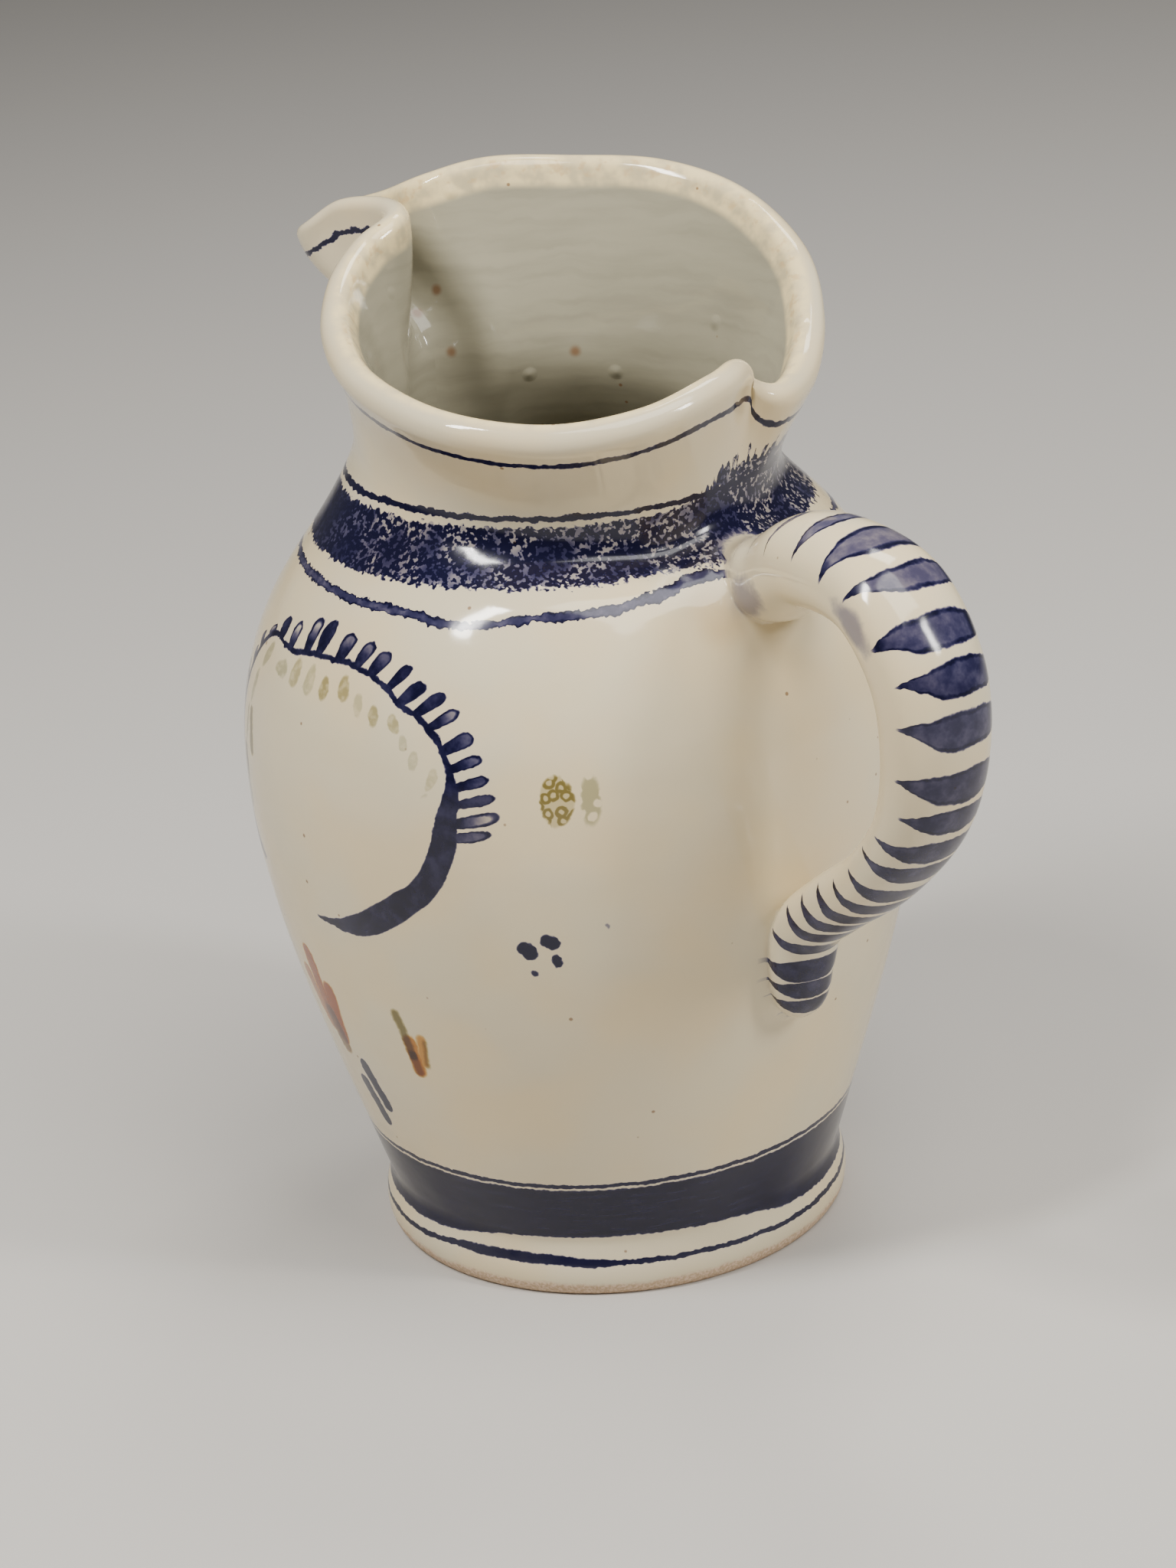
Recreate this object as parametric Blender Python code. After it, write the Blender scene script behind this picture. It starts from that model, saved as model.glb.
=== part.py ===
"""Milk jug of painted, tin-glazed earthenware.

One hollow fired piece: a thrown body on a low foot, a raked and pinched mouth with a pulled
spout, and a strap handle whose lower end is pressed on the belly as a tail. The origin is the
middle of the underside, +Z is up, the handle points along +X and the spout along -X.
"""

import math

import bmesh
import bpy
import numpy as np
from mathutils import Vector

MM = 0.001

# Turned profile, outer side, from the table up
BASE_RADIUS = 36.4 * MM       # flat underside
FOOT_RADIUS = 37.6 * MM       # bulge of the foot ring
FOOT_HEIGHT = 3.4 * MM
WAIST_RADIUS = 36.5 * MM      # groove above the foot ring
WAIST_RISE = 5.8 * MM         # above the foot's bulge
WAIST_SLOPE = 0.30            # outward run for each metre of height, just above the waist
BELLY_RADIUS = 52.7 * MM
BELLY_RISE = 71.0 * MM        # above the waist
SHOULDER_RADIUS = 41.9 * MM
SHOULDER_RISE = 32.3 * MM     # above the belly's widest line
SHOULDER_SLOPE = -0.78
NECK_RADIUS = 32.3 * MM       # narrowest line of the neck
NECK_RISE = 14.5 * MM         # above the shoulder
NECK_RAKE = 6.5 * MM          # the narrowest line lies this much higher at the spout, lower
                              # at the handle
NECK_SHIFT = 1.1 * MM         # the neck stands this far off the axis
NECK_SHIFT_ANGLE = 51.0       # towards this side, in degrees from the handle

# Wall and floor
WALL = 4.6 * MM
FLOOR = 6.5 * MM
FLOOR_CORNER = 9.0 * MM       # rounding between the floor and the wall inside

# Mouth: for each place round the rim, clockwise from the handle as seen from above, its
# angle in degrees, how far it stands outside and above the neck's wall, how far the wall
# leans outwards in degrees, and the wall's thickness there
MOUTH = (
    ("notch, near lobe's end", 15.0, 4.8 * MM, 14.5 * MM, 16.0, 4.6 * MM),
    ("near lobe, beside the handle", 2.0, 7.8 * MM, 14.7 * MM, 28.0, 4.8 * MM),
    ("near lobe, falling", -17.0, 9.3 * MM, 12.4 * MM, 38.0, 5.0 * MM),
    ("near lobe, lowest", -38.0, 8.9 * MM, 11.4 * MM, 42.0, 5.0 * MM),
    ("near lobe, middle", -62.0, 7.4 * MM, 13.2 * MM, 40.0, 5.0 * MM),
    ("near lobe, rising", -89.0, 4.4 * MM, 16.4 * MM, 34.0, 4.8 * MM),
    ("near lobe, side", -115.0, 2.4 * MM, 19.9 * MM, 26.0, 4.8 * MM),
    ("near lobe, by the spout", -138.0, 2.1 * MM, 24.3 * MM, 18.0, 4.6 * MM),
    ("near pinch, foot", -155.0, 2.0 * MM, 27.7 * MM, 10.0, 4.6 * MM),
    ("near pinch", -168.0, 1.2 * MM, 30.3 * MM, 2.0, 4.4 * MM),
    ("spout, near wall", -174.5, 8.6 * MM, 30.9 * MM, 8.0, 3.8 * MM),
    ("spout, near edge", -173.2, 18.2 * MM, 29.7 * MM, 10.0, 3.4 * MM),
    ("spout, near corner", -171.4, 24.4 * MM, 25.9 * MM, 14.0, 3.2 * MM),
    ("spout, lip", -176.0, 28.6 * MM, 24.5 * MM, 16.0, 3.2 * MM),
    ("spout, far corner", -181.5, 25.6 * MM, 27.1 * MM, 14.0, 3.4 * MM),
    ("spout, far edge", -184.0, 18.4 * MM, 29.3 * MM, 12.0, 3.8 * MM),
    ("far lobe, by the spout", -189.0, 11.2 * MM, 32.1 * MM, 14.0, 4.4 * MM),
    ("far lobe, highest", -203.0, 8.2 * MM, 33.7 * MM, 16.0, 4.8 * MM),
    ("far lobe, back", -222.0, 7.9 * MM, 32.9 * MM, 18.0, 4.8 * MM),
    ("far lobe, middle", -244.0, 8.6 * MM, 31.9 * MM, 22.0, 5.0 * MM),
    ("far lobe, falling", -265.0, 9.3 * MM, 28.7 * MM, 24.0, 5.0 * MM),
    ("far lobe, side", -287.0, 9.3 * MM, 22.9 * MM, 26.0, 5.0 * MM),
    ("far lobe, side below", -303.0, 8.7 * MM, 15.9 * MM, 26.0, 5.0 * MM),
    ("far lobe, beside the handle", -320.0, 7.8 * MM, 10.6 * MM, 28.0, 5.0 * MM),
    ("notch, far lobe's end", -335.0, 7.8 * MM, 9.6 * MM, 28.0, 4.6 * MM),
    ("notch, groove", -341.0, 5.8 * MM, 11.2 * MM, 22.0, 4.2 * MM),
)
COLLAR = 20.0 * MM            # height of the straight collar that the mouth is shaped from
ANGLE_SMOOTHING = 0.05        # of the rim's length, for the meridians below the mouth

# Throat of the spout: a shallow groove that runs down inside the neck
THROAT_ANGLE = -176.0         # degrees from the handle
THROAT_HALF_ANGLE = 23.0
THROAT_DEPTH = 6.0 * MM
THROAT_DROP = 15.0 * MM       # fades out this far below the neck's narrowest line

# Handle: places along its middle line, as how far they stand outside the belly, their rise
# above the belly's widest line and how far they lie to the side, then the strap's width and
# thickness
STRAP = (
    ("upper root", -11.2 * MM, 30.8 * MM, 5.0 * MM, 15.8 * MM, 14.0 * MM),
    ("leaving the shoulder", -3.6 * MM, 34.6 * MM, 4.0 * MM, 16.2 * MM, 13.4 * MM),
    ("crest", 6.8 * MM, 39.5 * MM, 2.2 * MM, 17.4 * MM, 13.4 * MM),
    ("turning down", 21.8 * MM, 38.9 * MM, 0.6 * MM, 18.2 * MM, 12.4 * MM),
    ("upper bend", 30.0 * MM, 30.6 * MM, 0.0, 18.0 * MM, 11.6 * MM),
    ("widest", 31.4 * MM, 19.8 * MM, 0.0, 17.4 * MM, 11.2 * MM),
    ("lower bend", 28.2 * MM, 8.2 * MM, 0.0, 16.0 * MM, 10.4 * MM),
    ("turning in", 19.4 * MM, -2.2 * MM, 0.0, 13.8 * MM, 9.8 * MM),
    ("lower limb", 9.0 * MM, -9.8 * MM, 0.0, 12.4 * MM, 9.6 * MM),
)
# The tail pressed on the belly: the same, but standing outside the wall at their own height
TAIL = (
    ("meeting the belly", 2.4 * MM, -16.4 * MM, 0.0, 12.0 * MM, 9.2 * MM),
    ("tail", 1.0 * MM, -23.2 * MM, 0.0, 11.2 * MM, 8.8 * MM),
    ("tail, lower", 0.6 * MM, -28.8 * MM, 0.6 * MM, 9.8 * MM, 7.8 * MM),
    ("tail's tip", -0.4 * MM, -33.0 * MM, 1.0 * MM, 5.8 * MM, 5.0 * MM),
)
OUTER_SHARE = 0.58            # of the strap's thickness that lies outside its middle line
BAR_LENGTH = 1.0              # of the straight bar that is bent into the strap

# Fineness of the faceted solid
COLUMNS = 60
HANDLE_SIDES = 14
HANDLE_RINGS = 36
FOOT_ROWS = 3
WAIST_ROWS = 3
WALL_ROWS = 21                # outer side, from the waist to the neck
INNER_ROWS = 14               # inner side, from the neck to the floor's rounding
COLLAR_ROWS = 8
LIP_ROWS = 6
CORNER_ROWS = 4
MOUTH_STEPS = 24              # curve places between two stations of the mouth
HANDLE_STEPS = 16             # and of the handle
SMOOTHING_PASSES = 2
RAKE_PASSES = 12
SLOPE_STEP = 0.01             # share of the collar, for reading off the wall's direction
SHARP_ANGLE = 50.0            # degrees
MERGE_DISTANCE = 0.000001

GLAZE_COLOR = (0.86, 0.82, 0.76, 1.0)
GLAZE_ROUGHNESS = 0.18

# Heights of the profile's stations
WAIST_HEIGHT = FOOT_HEIGHT + WAIST_RISE
BELLY_HEIGHT = WAIST_HEIGHT + BELLY_RISE
SHOULDER_HEIGHT = BELLY_HEIGHT + SHOULDER_RISE
NECK_HEIGHT = SHOULDER_HEIGHT + NECK_RISE
NECK_MIDDLE = NECK_RADIUS - WALL / 2


def hermite(start, end, start_slope, end_slope, span, share):
    """Cubic that leaves start and reaches end with the given slopes."""
    s = share
    return (
        start * (2 * s**3 - 3 * s**2 + 1)
        + end * (3 * s**2 - 2 * s**3)
        + start_slope * span * (s**3 - 2 * s**2 + s)
        + end_slope * span * (s**3 - s**2)
    )


def outer_radius(height):
    """Radius of the thrown body's outer side at a height up to the neck."""
    stations = (
        (0.0, BASE_RADIUS, 1.0),
        (FOOT_HEIGHT, FOOT_RADIUS, 0.0),
        (WAIST_HEIGHT, WAIST_RADIUS, 0.0),
        (BELLY_HEIGHT, BELLY_RADIUS, 0.0),
        (SHOULDER_HEIGHT, SHOULDER_RADIUS, SHOULDER_SLOPE),
        (NECK_HEIGHT, NECK_RADIUS, 0.0),
    )
    for lower, upper in zip(stations, stations[1:]):
        if height <= upper[0] or upper is stations[-1]:
            start_slope = WAIST_SLOPE if lower[0] == WAIST_HEIGHT else lower[2]
            span = upper[0] - lower[0]
            share = min((height - lower[0]) / span, 1.0)
            return hermite(lower[1], upper[1], start_slope, upper[2], span, share)


def neck_move(angle, height):
    """How the raked, shifted neck displaces a point of the straight body."""
    share = min(max((height - SHOULDER_HEIGHT) / NECK_RISE, 0.0), 1.0)
    share *= share * (3.0 - 2.0 * share)
    side = math.radians(NECK_SHIFT_ANGLE)
    return Vector((NECK_SHIFT * math.cos(side), NECK_SHIFT * math.sin(side),
                   -NECK_RAKE * math.cos(angle))) * share


def wall_behind_handle(height):
    """How far the outer wall stands from the axis on the handle's side."""
    straight = height
    for _ in range(RAKE_PASSES):
        straight = height - neck_move(0.0, straight).z
    return outer_radius(straight) + neck_move(0.0, straight).x


def throat(angle, height):
    """How far the spout's groove pushes the wall out, at an angle in radians and a height."""
    turn = (math.degrees(angle) - THROAT_ANGLE + 180.0) % 360.0 - 180.0
    across = max(0.0, 1.0 - (turn / THROAT_HALF_ANGLE) ** 2)
    down = min(max(1.0 - (NECK_HEIGHT - height) / THROAT_DROP, 0.0), 1.0)
    return THROAT_DEPTH * across**2 * down * down * (3.0 - 2.0 * down)


def spline(points, closed, steps):
    """Catmull-Rom curve through the points, with steps places between each two."""
    points = np.array(points)
    count = len(points)
    curve = []
    for i in range(count if closed else count - 1):
        if closed:
            p0, p1, p2, p3 = (points[(i + k) % count] for k in (-1, 0, 1, 2))
        else:
            p1, p2 = points[i], points[i + 1]
            p0 = points[i - 1] if i else 2 * p1 - p2
            p3 = points[i + 2] if i + 2 < count else 2 * p2 - p1
        for s in np.arange(steps) / steps:
            bend = 2 * p0 - 5 * p1 + 4 * p2 - p3
            twist = 3 * p1 - p0 - 3 * p2 + p3
            curve.append(0.5 * (2 * p1 + (p2 - p0) * s + bend * s**2 + twist * s**3))
    if not closed:
        curve.append(points[-1])
    return np.array(curve)


def evenly(curve, count, closed):
    """Read a curve off at even steps along its length, by its first three columns."""
    path = np.vstack([curve, curve[:1]]) if closed else curve
    steps = np.linalg.norm(np.diff(path[:, :3], axis=0), axis=1)
    length = np.concatenate([[0.0], np.cumsum(steps)])
    places = np.linspace(0.0, length[-1], count, endpoint=not closed)
    return np.column_stack([np.interp(places, length, column) for column in path.T])


def smoothed(angles, reach):
    """Even out the angles round the rim, each with its neighbours out to reach."""
    pad = SMOOTHING_PASSES * reach
    padded = np.concatenate([angles[-pad:] - math.tau, angles, angles[:pad] + math.tau])
    kernel = np.ones(2 * reach + 1) / (2 * reach + 1)
    for _ in range(SMOOTHING_PASSES):
        padded = np.convolve(padded, kernel, "same")
    return padded[pad:-pad]


class Mouth:
    """The rim's middle line, and the neck's angle below each place on it."""

    def __init__(self, columns):
        stations = []
        for _, angle, out, rise, lean, thickness in MOUTH:
            turn = math.radians(angle)
            radius = NECK_MIDDLE + out
            stations.append((radius * math.cos(turn), radius * math.sin(turn),
                             NECK_HEIGHT + rise, math.radians(lean), thickness))
        self.rim = evenly(spline(stations[::-1], True, MOUTH_STEPS), columns, True)
        angles = np.unwrap(np.arctan2(self.rim[:, 1], self.rim[:, 0]))
        self.angles = smoothed(angles, max(1, round(ANGLE_SMOOTHING * columns)))
        along = np.roll(self.rim[:, :2], -1, axis=0) - np.roll(self.rim[:, :2], 1, axis=0)
        along /= np.linalg.norm(along, axis=1)[:, None]
        self.out = np.column_stack([along[:, 1], -along[:, 0]])

    def shape(self, column, across, height):
        """Where a point of the straight collar goes: across its wall, up its height."""
        angle = self.angles[column]
        radial = Vector((math.cos(angle), math.sin(angle), 0.0))
        x, y, z, lean, thickness = self.rim[column]
        out = Vector((*self.out[column], 0.0))
        up = Vector((0.0, 0.0, 1.0))
        neck = radial * (NECK_MIDDLE + throat(angle, NECK_HEIGHT)) + up * NECK_HEIGHT
        neck += neck_move(angle, NECK_HEIGHT)
        rim = Vector((x, y, z))
        ends = (neck, rim, up, up * math.cos(lean) + out * math.sin(lean), (rim - neck).length)
        share = min(height / COLLAR, 1.0)
        ahead = hermite(*ends, share + SLOPE_STEP)
        behind = hermite(*ends, share - SLOPE_STEP)
        wall_up = (ahead - behind).normalized()
        side = radial.lerp(out, share)
        side = (side - wall_up * side.dot(wall_up)).normalized()
        swell = 1.0 + (thickness / WALL - 1.0) * share
        above = max(height - COLLAR, 0.0) * swell
        return hermite(*ends, share) + side * across * swell + wall_up * above


def wall_profile():
    """Outline of the wall on the XZ plane, from the underside's middle to the floor's.

    Above the neck it is a straight collar with a round lip, which the mouth is shaped from.
    """
    top = NECK_HEIGHT + COLLAR
    corner_height = FLOOR + FLOOR_CORNER
    foot = np.linspace(0.0, FOOT_HEIGHT, FOOT_ROWS + 1)
    waist = np.linspace(FOOT_HEIGHT, WAIST_HEIGHT, WAIST_ROWS + 1)[1:]
    wall = np.linspace(WAIST_HEIGHT, NECK_HEIGHT, WALL_ROWS + 1)[1:]
    collar = np.linspace(NECK_HEIGHT, top, COLLAR_ROWS + 1)
    inner = np.linspace(NECK_HEIGHT, corner_height, INNER_ROWS + 1)[1:]
    outline = [(0.0, 0.0)]
    outline += [(outer_radius(h), h) for h in (*foot, *waist, *wall)]
    outline += [(NECK_RADIUS, h) for h in collar[1:]]
    outline += [(NECK_MIDDLE + WALL / 2 * math.cos(turn), top + WALL / 2 * math.sin(turn))
                for turn in np.linspace(0.0, math.pi, LIP_ROWS + 1)[1:-1]]
    outline += [(NECK_RADIUS - WALL, h) for h in collar[::-1]]
    outline += [(outer_radius(h) - WALL, h) for h in inner]
    inner_radius = outer_radius(corner_height) - WALL
    outline += [(inner_radius - FLOOR_CORNER * (1 - math.cos(turn)),
                 corner_height - FLOOR_CORNER * math.sin(turn))
                for turn in np.linspace(0.0, math.pi / 2, CORNER_ROWS + 1)[1:]]
    outline.append((0.0, FLOOR))
    return outline


def new_object(name, bm, material):
    """Turn a bmesh into a smooth-shaded object."""
    mesh = bpy.data.meshes.new(name)
    bmesh.ops.recalc_face_normals(bm, faces=bm.faces)
    bm.to_mesh(mesh)
    bm.free()
    mesh.shade_smooth()
    mesh.set_sharp_from_angle(angle=math.radians(SHARP_ANGLE))
    mesh.materials.append(material)
    obj = bpy.data.objects.new(name, mesh)
    bpy.context.collection.objects.link(obj)
    return obj


def thrown_body(material):
    """Spin the wall's outline, then shape its collar into the mouth."""
    bm = bmesh.new()
    verts = [bm.verts.new((x, 0.0, z)) for x, z in wall_profile()]
    edges = [bm.edges.new(pair) for pair in zip(verts, verts[1:])]
    bmesh.ops.spin(bm, geom=verts + edges, cent=(0, 0, 0), axis=(0, 0, 1), dvec=(0, 0, 0),
                   angle=math.tau, steps=COLUMNS, use_merge=True, use_duplicate=False)
    bmesh.ops.remove_doubles(bm, verts=bm.verts, dist=MERGE_DISTANCE)
    mouth = Mouth(COLUMNS)
    for vert in bm.verts:
        radius = math.hypot(vert.co.x, vert.co.y)
        if radius < MERGE_DISTANCE:
            continue
        height = vert.co.z
        column = round(math.atan2(vert.co.y, vert.co.x) / math.tau * COLUMNS) % COLUMNS
        if height > NECK_HEIGHT:
            vert.co = mouth.shape(column, radius - NECK_MIDDLE, height - NECK_HEIGHT)
        else:
            angle = mouth.angles[column]
            radius += throat(angle, height)
            vert.co = Vector((radius * math.cos(angle), radius * math.sin(angle), height))
            vert.co += neck_move(angle, height)
    return new_object("jug", bm, material)


def strap_handle(material):
    """Bend a straight bar into the strap, with its upper end inside the thickness of the wall."""
    stations = [(BELLY_RADIUS + out, BELLY_HEIGHT + rise, *rest) for _, out, rise, *rest in STRAP]
    stations += [(outer_radius(BELLY_HEIGHT + rise) + out, BELLY_HEIGHT + rise, *rest)
                 for _, out, rise, *rest in TAIL]
    path = evenly(spline(stations, False, HANDLE_STEPS), HANDLE_RINGS, False)
    bm = bmesh.new()
    bmesh.ops.create_cone(bm, segments=HANDLE_SIDES, radius1=1.0, radius2=1.0,
                          depth=BAR_LENGTH, cap_ends=True)
    long_edges = [edge for edge in bm.edges
                  if abs(edge.verts[0].co.z - edge.verts[1].co.z) > BAR_LENGTH / 2]
    bmesh.ops.subdivide_edges(bm, edges=long_edges, cuts=HANDLE_RINGS - 2, use_grid_fill=True)
    for vert in bm.verts:
        ring = round((vert.co.z / BAR_LENGTH + 0.5) * (HANDLE_RINGS - 1))
        x, z, side, width, thickness = path[ring]
        ahead, behind = path[min(ring + 1, HANDLE_RINGS - 1)], path[max(ring - 1, 0)]
        along = Vector((ahead[0] - behind[0], 0.0, ahead[1] - behind[1])).normalized()
        outward = Vector((-along.z, 0.0, along.x))
        share = OUTER_SHARE if vert.co.x > 0.0 else 1.0 - OUTER_SHARE
        place = Vector((x, 0.0, z)) + outward * thickness * share * vert.co.x
        place.y = side + width / 2 * vert.co.y
        if ring == 0:
            inside = wall_behind_handle(place.z) - WALL / 2
            place.x = math.sqrt(inside**2 - place.y**2)
        vert.co = place
    return new_object("handle", bm, material)


def glaze():
    """Cream tin glaze."""
    material = bpy.data.materials.new("glaze")
    material.use_nodes = True
    shader = material.node_tree.nodes["Principled BSDF"]
    shader.inputs["Base Color"].default_value = GLAZE_COLOR
    shader.inputs["Roughness"].default_value = GLAZE_ROUGHNESS
    shader.inputs["Metallic"].default_value = 0.0
    return material


def main():
    """Build the jug: the body, and the handle fused to it."""
    for obj in list(bpy.data.objects):
        bpy.data.objects.remove(obj)
    material = glaze()
    jug = thrown_body(material)
    handle = strap_handle(material)
    handle.hide_render = True
    handle.display_type = "WIRE"
    fuse = jug.modifiers.new("fuse the handle", "BOOLEAN")
    fuse.operation = "UNION"
    fuse.solver = "EXACT"
    fuse.object = handle


main()
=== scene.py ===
"""Milk jug of painted, tin-glazed earthenware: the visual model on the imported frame.

The origin is the middle of the underside, +Z is up, the handle points along +X and the spout
along -X. The body is turned on an outline, its mouth is pulled into shape, and the strap handle
is fused to it. The painting is done by node maths on the angle round the jug, the height above
the table, the distance below the rim and the place on the strap.
"""

import logging
import math
from dataclasses import dataclass, field
from enum import Enum
from typing import Union

import bmesh
import bpy
import numpy as np
from mathutils import Matrix, Vector
from mathutils.bvhtree import BVHTree
from mathutils.geometry import barycentric_transform


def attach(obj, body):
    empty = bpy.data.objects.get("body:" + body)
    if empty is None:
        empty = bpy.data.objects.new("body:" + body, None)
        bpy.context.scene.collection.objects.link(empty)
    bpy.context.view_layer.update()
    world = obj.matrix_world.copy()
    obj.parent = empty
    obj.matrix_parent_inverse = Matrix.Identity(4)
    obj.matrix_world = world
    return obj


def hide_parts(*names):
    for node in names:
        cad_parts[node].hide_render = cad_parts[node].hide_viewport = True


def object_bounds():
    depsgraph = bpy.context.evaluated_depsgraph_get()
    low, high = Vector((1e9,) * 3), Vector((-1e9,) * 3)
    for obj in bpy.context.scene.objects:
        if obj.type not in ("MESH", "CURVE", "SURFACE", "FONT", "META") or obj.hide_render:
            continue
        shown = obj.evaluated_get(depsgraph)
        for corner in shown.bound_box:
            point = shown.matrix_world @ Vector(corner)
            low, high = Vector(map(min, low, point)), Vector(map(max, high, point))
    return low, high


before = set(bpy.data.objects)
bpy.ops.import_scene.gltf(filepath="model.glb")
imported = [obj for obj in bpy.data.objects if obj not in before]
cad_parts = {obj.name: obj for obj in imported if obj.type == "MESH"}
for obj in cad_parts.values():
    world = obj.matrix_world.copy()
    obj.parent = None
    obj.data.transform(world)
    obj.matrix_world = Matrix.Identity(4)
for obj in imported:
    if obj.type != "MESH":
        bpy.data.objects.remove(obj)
CAD_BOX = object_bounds()

MM = 0.001
PER_METRE = 1000.0
RADIAN = math.radians(1.0)
MERGE_DISTANCE = 1e-6
LOG = logging.getLogger("milk_jug")

Amount = Union[float, np.ndarray]
Reading = Union["Wire", float, tuple]


def hermite(start: Amount, end: Amount, start_slope: Amount, end_slope: Amount, span: Amount,
            share: float) -> Amount:
    """Cubic that leaves start and reaches end with the given slopes, for numbers or arrays."""
    s = share
    return (
        start * (2 * s**3 - 3 * s**2 + 1)
        + end * (3 * s**2 - 2 * s**3)
        + start_slope * span * (s**3 - 2 * s**2 + s)
        + end_slope * span * (s**3 - s**2)
    )


def smooth(share: Amount) -> Amount:
    """Smooth step of a share between 0 and 1."""
    share = np.clip(share, 0.0, 1.0)
    return share * share * (3.0 - 2.0 * share)


def spline(points: list, closed: bool, steps: int) -> np.ndarray:
    """Catmull-Rom curve.

    Args:
        points: the stations that the curve passes through.
        closed: whether the last station joins the first.
        steps: places between each two stations.

    Returns:
        One row for each place.
    """
    points = np.array(points)
    count = len(points)
    curve = []
    for i in range(count if closed else count - 1):
        if closed:
            p0, p1, p2, p3 = (points[(i + k) % count] for k in (-1, 0, 1, 2))
        else:
            p1, p2 = points[i], points[i + 1]
            p0 = points[i - 1] if i else 2 * p1 - p2
            p3 = points[i + 2] if i + 2 < count else 2 * p2 - p1
        for s in np.arange(steps) / steps:
            bend = 2 * p0 - 5 * p1 + 4 * p2 - p3
            twist = 3 * p1 - p0 - 3 * p2 + p3
            curve.append(0.5 * (2 * p1 + (p2 - p0) * s + bend * s**2 + twist * s**3))
    if not closed:
        curve.append(points[-1])
    return np.array(curve)


def evenly(curve: np.ndarray, count: int, closed: bool) -> np.ndarray:
    """Read a curve off at even steps along its length.

    Args:
        curve: one row for each place, whose first three columns are its position.
        count: how many places to return.
        closed: whether the last place joins the first.

    Returns:
        One row for each even step.
    """
    path = np.vstack([curve, curve[:1]]) if closed else curve
    steps = np.linalg.norm(np.diff(path[:, :3], axis=0), axis=1)
    length = np.concatenate([[0.0], np.cumsum(steps)])
    places = np.linspace(0.0, length[-1], count, endpoint=not closed)
    return np.column_stack([np.interp(places, length, column) for column in path.T])


@dataclass(frozen=True)
class RimStation:
    """A place on the rim's middle line.

    Its angle is in degrees from the handle. It stands out beyond the neck's wall and rises above
    the neck, where the wall leans outwards by lean degrees.
    """

    name: str
    angle: float
    out: float
    rise: float
    lean: float
    thickness: float


RIM = (
    RimStation("notch, near lobe's end", 15.0, 4.8 * MM, 14.5 * MM, 16.0, 4.6 * MM),
    RimStation("near lobe, beside the handle", 2.0, 7.8 * MM, 14.7 * MM, 28.0, 4.8 * MM),
    RimStation("near lobe, falling", -17.0, 9.3 * MM, 12.4 * MM, 38.0, 5.0 * MM),
    RimStation("near lobe, lowest", -38.0, 8.9 * MM, 11.4 * MM, 42.0, 5.0 * MM),
    RimStation("near lobe, middle", -62.0, 7.4 * MM, 13.2 * MM, 40.0, 5.0 * MM),
    RimStation("near lobe, rising", -89.0, 4.4 * MM, 16.4 * MM, 34.0, 4.8 * MM),
    RimStation("near lobe, side", -115.0, 2.4 * MM, 19.9 * MM, 26.0, 4.8 * MM),
    RimStation("near lobe, by the spout", -138.0, 2.1 * MM, 24.3 * MM, 18.0, 4.6 * MM),
    RimStation("near pinch, foot", -155.0, 2.0 * MM, 27.7 * MM, 10.0, 4.6 * MM),
    RimStation("near pinch", -168.0, 1.2 * MM, 30.3 * MM, 2.0, 4.4 * MM),
    RimStation("spout, near wall", -174.5, 8.6 * MM, 30.9 * MM, 8.0, 3.8 * MM),
    RimStation("spout, near edge", -173.2, 18.2 * MM, 29.7 * MM, 10.0, 3.4 * MM),
    RimStation("spout, near corner", -171.4, 24.4 * MM, 25.9 * MM, 14.0, 3.2 * MM),
    RimStation("spout, lip", -176.0, 28.6 * MM, 24.5 * MM, 16.0, 3.2 * MM),
    RimStation("spout, far corner", -181.5, 25.6 * MM, 27.1 * MM, 14.0, 3.4 * MM),
    RimStation("spout, far edge", -184.0, 18.4 * MM, 29.3 * MM, 12.0, 3.8 * MM),
    RimStation("far lobe, by the spout", -189.0, 11.2 * MM, 32.1 * MM, 14.0, 4.4 * MM),
    RimStation("far lobe, highest", -203.0, 8.2 * MM, 33.7 * MM, 16.0, 4.8 * MM),
    RimStation("far lobe, back", -222.0, 7.9 * MM, 32.9 * MM, 18.0, 4.8 * MM),
    RimStation("far lobe, middle", -244.0, 8.6 * MM, 31.9 * MM, 22.0, 5.0 * MM),
    RimStation("far lobe, falling", -265.0, 9.3 * MM, 28.7 * MM, 24.0, 5.0 * MM),
    RimStation("far lobe, side", -287.0, 9.3 * MM, 22.9 * MM, 26.0, 5.0 * MM),
    RimStation("far lobe, side below", -303.0, 8.7 * MM, 15.9 * MM, 26.0, 5.0 * MM),
    RimStation("far lobe, beside the handle", -320.0, 7.8 * MM, 10.6 * MM, 28.0, 5.0 * MM),
    RimStation("notch, far lobe's end", -335.0, 7.8 * MM, 9.6 * MM, 28.0, 4.6 * MM),
    RimStation("notch, groove", -341.0, 5.8 * MM, 11.2 * MM, 22.0, 4.2 * MM),
)


@dataclass(frozen=True)
class StrapStation:
    """A place on the handle's middle line.

    It stands out beyond the belly (on the tail, beyond the wall at its own height), rises above
    the belly's widest line and lies a little to the side.
    """

    name: str
    out: float
    rise: float
    side: float
    width: float
    thickness: float


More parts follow.
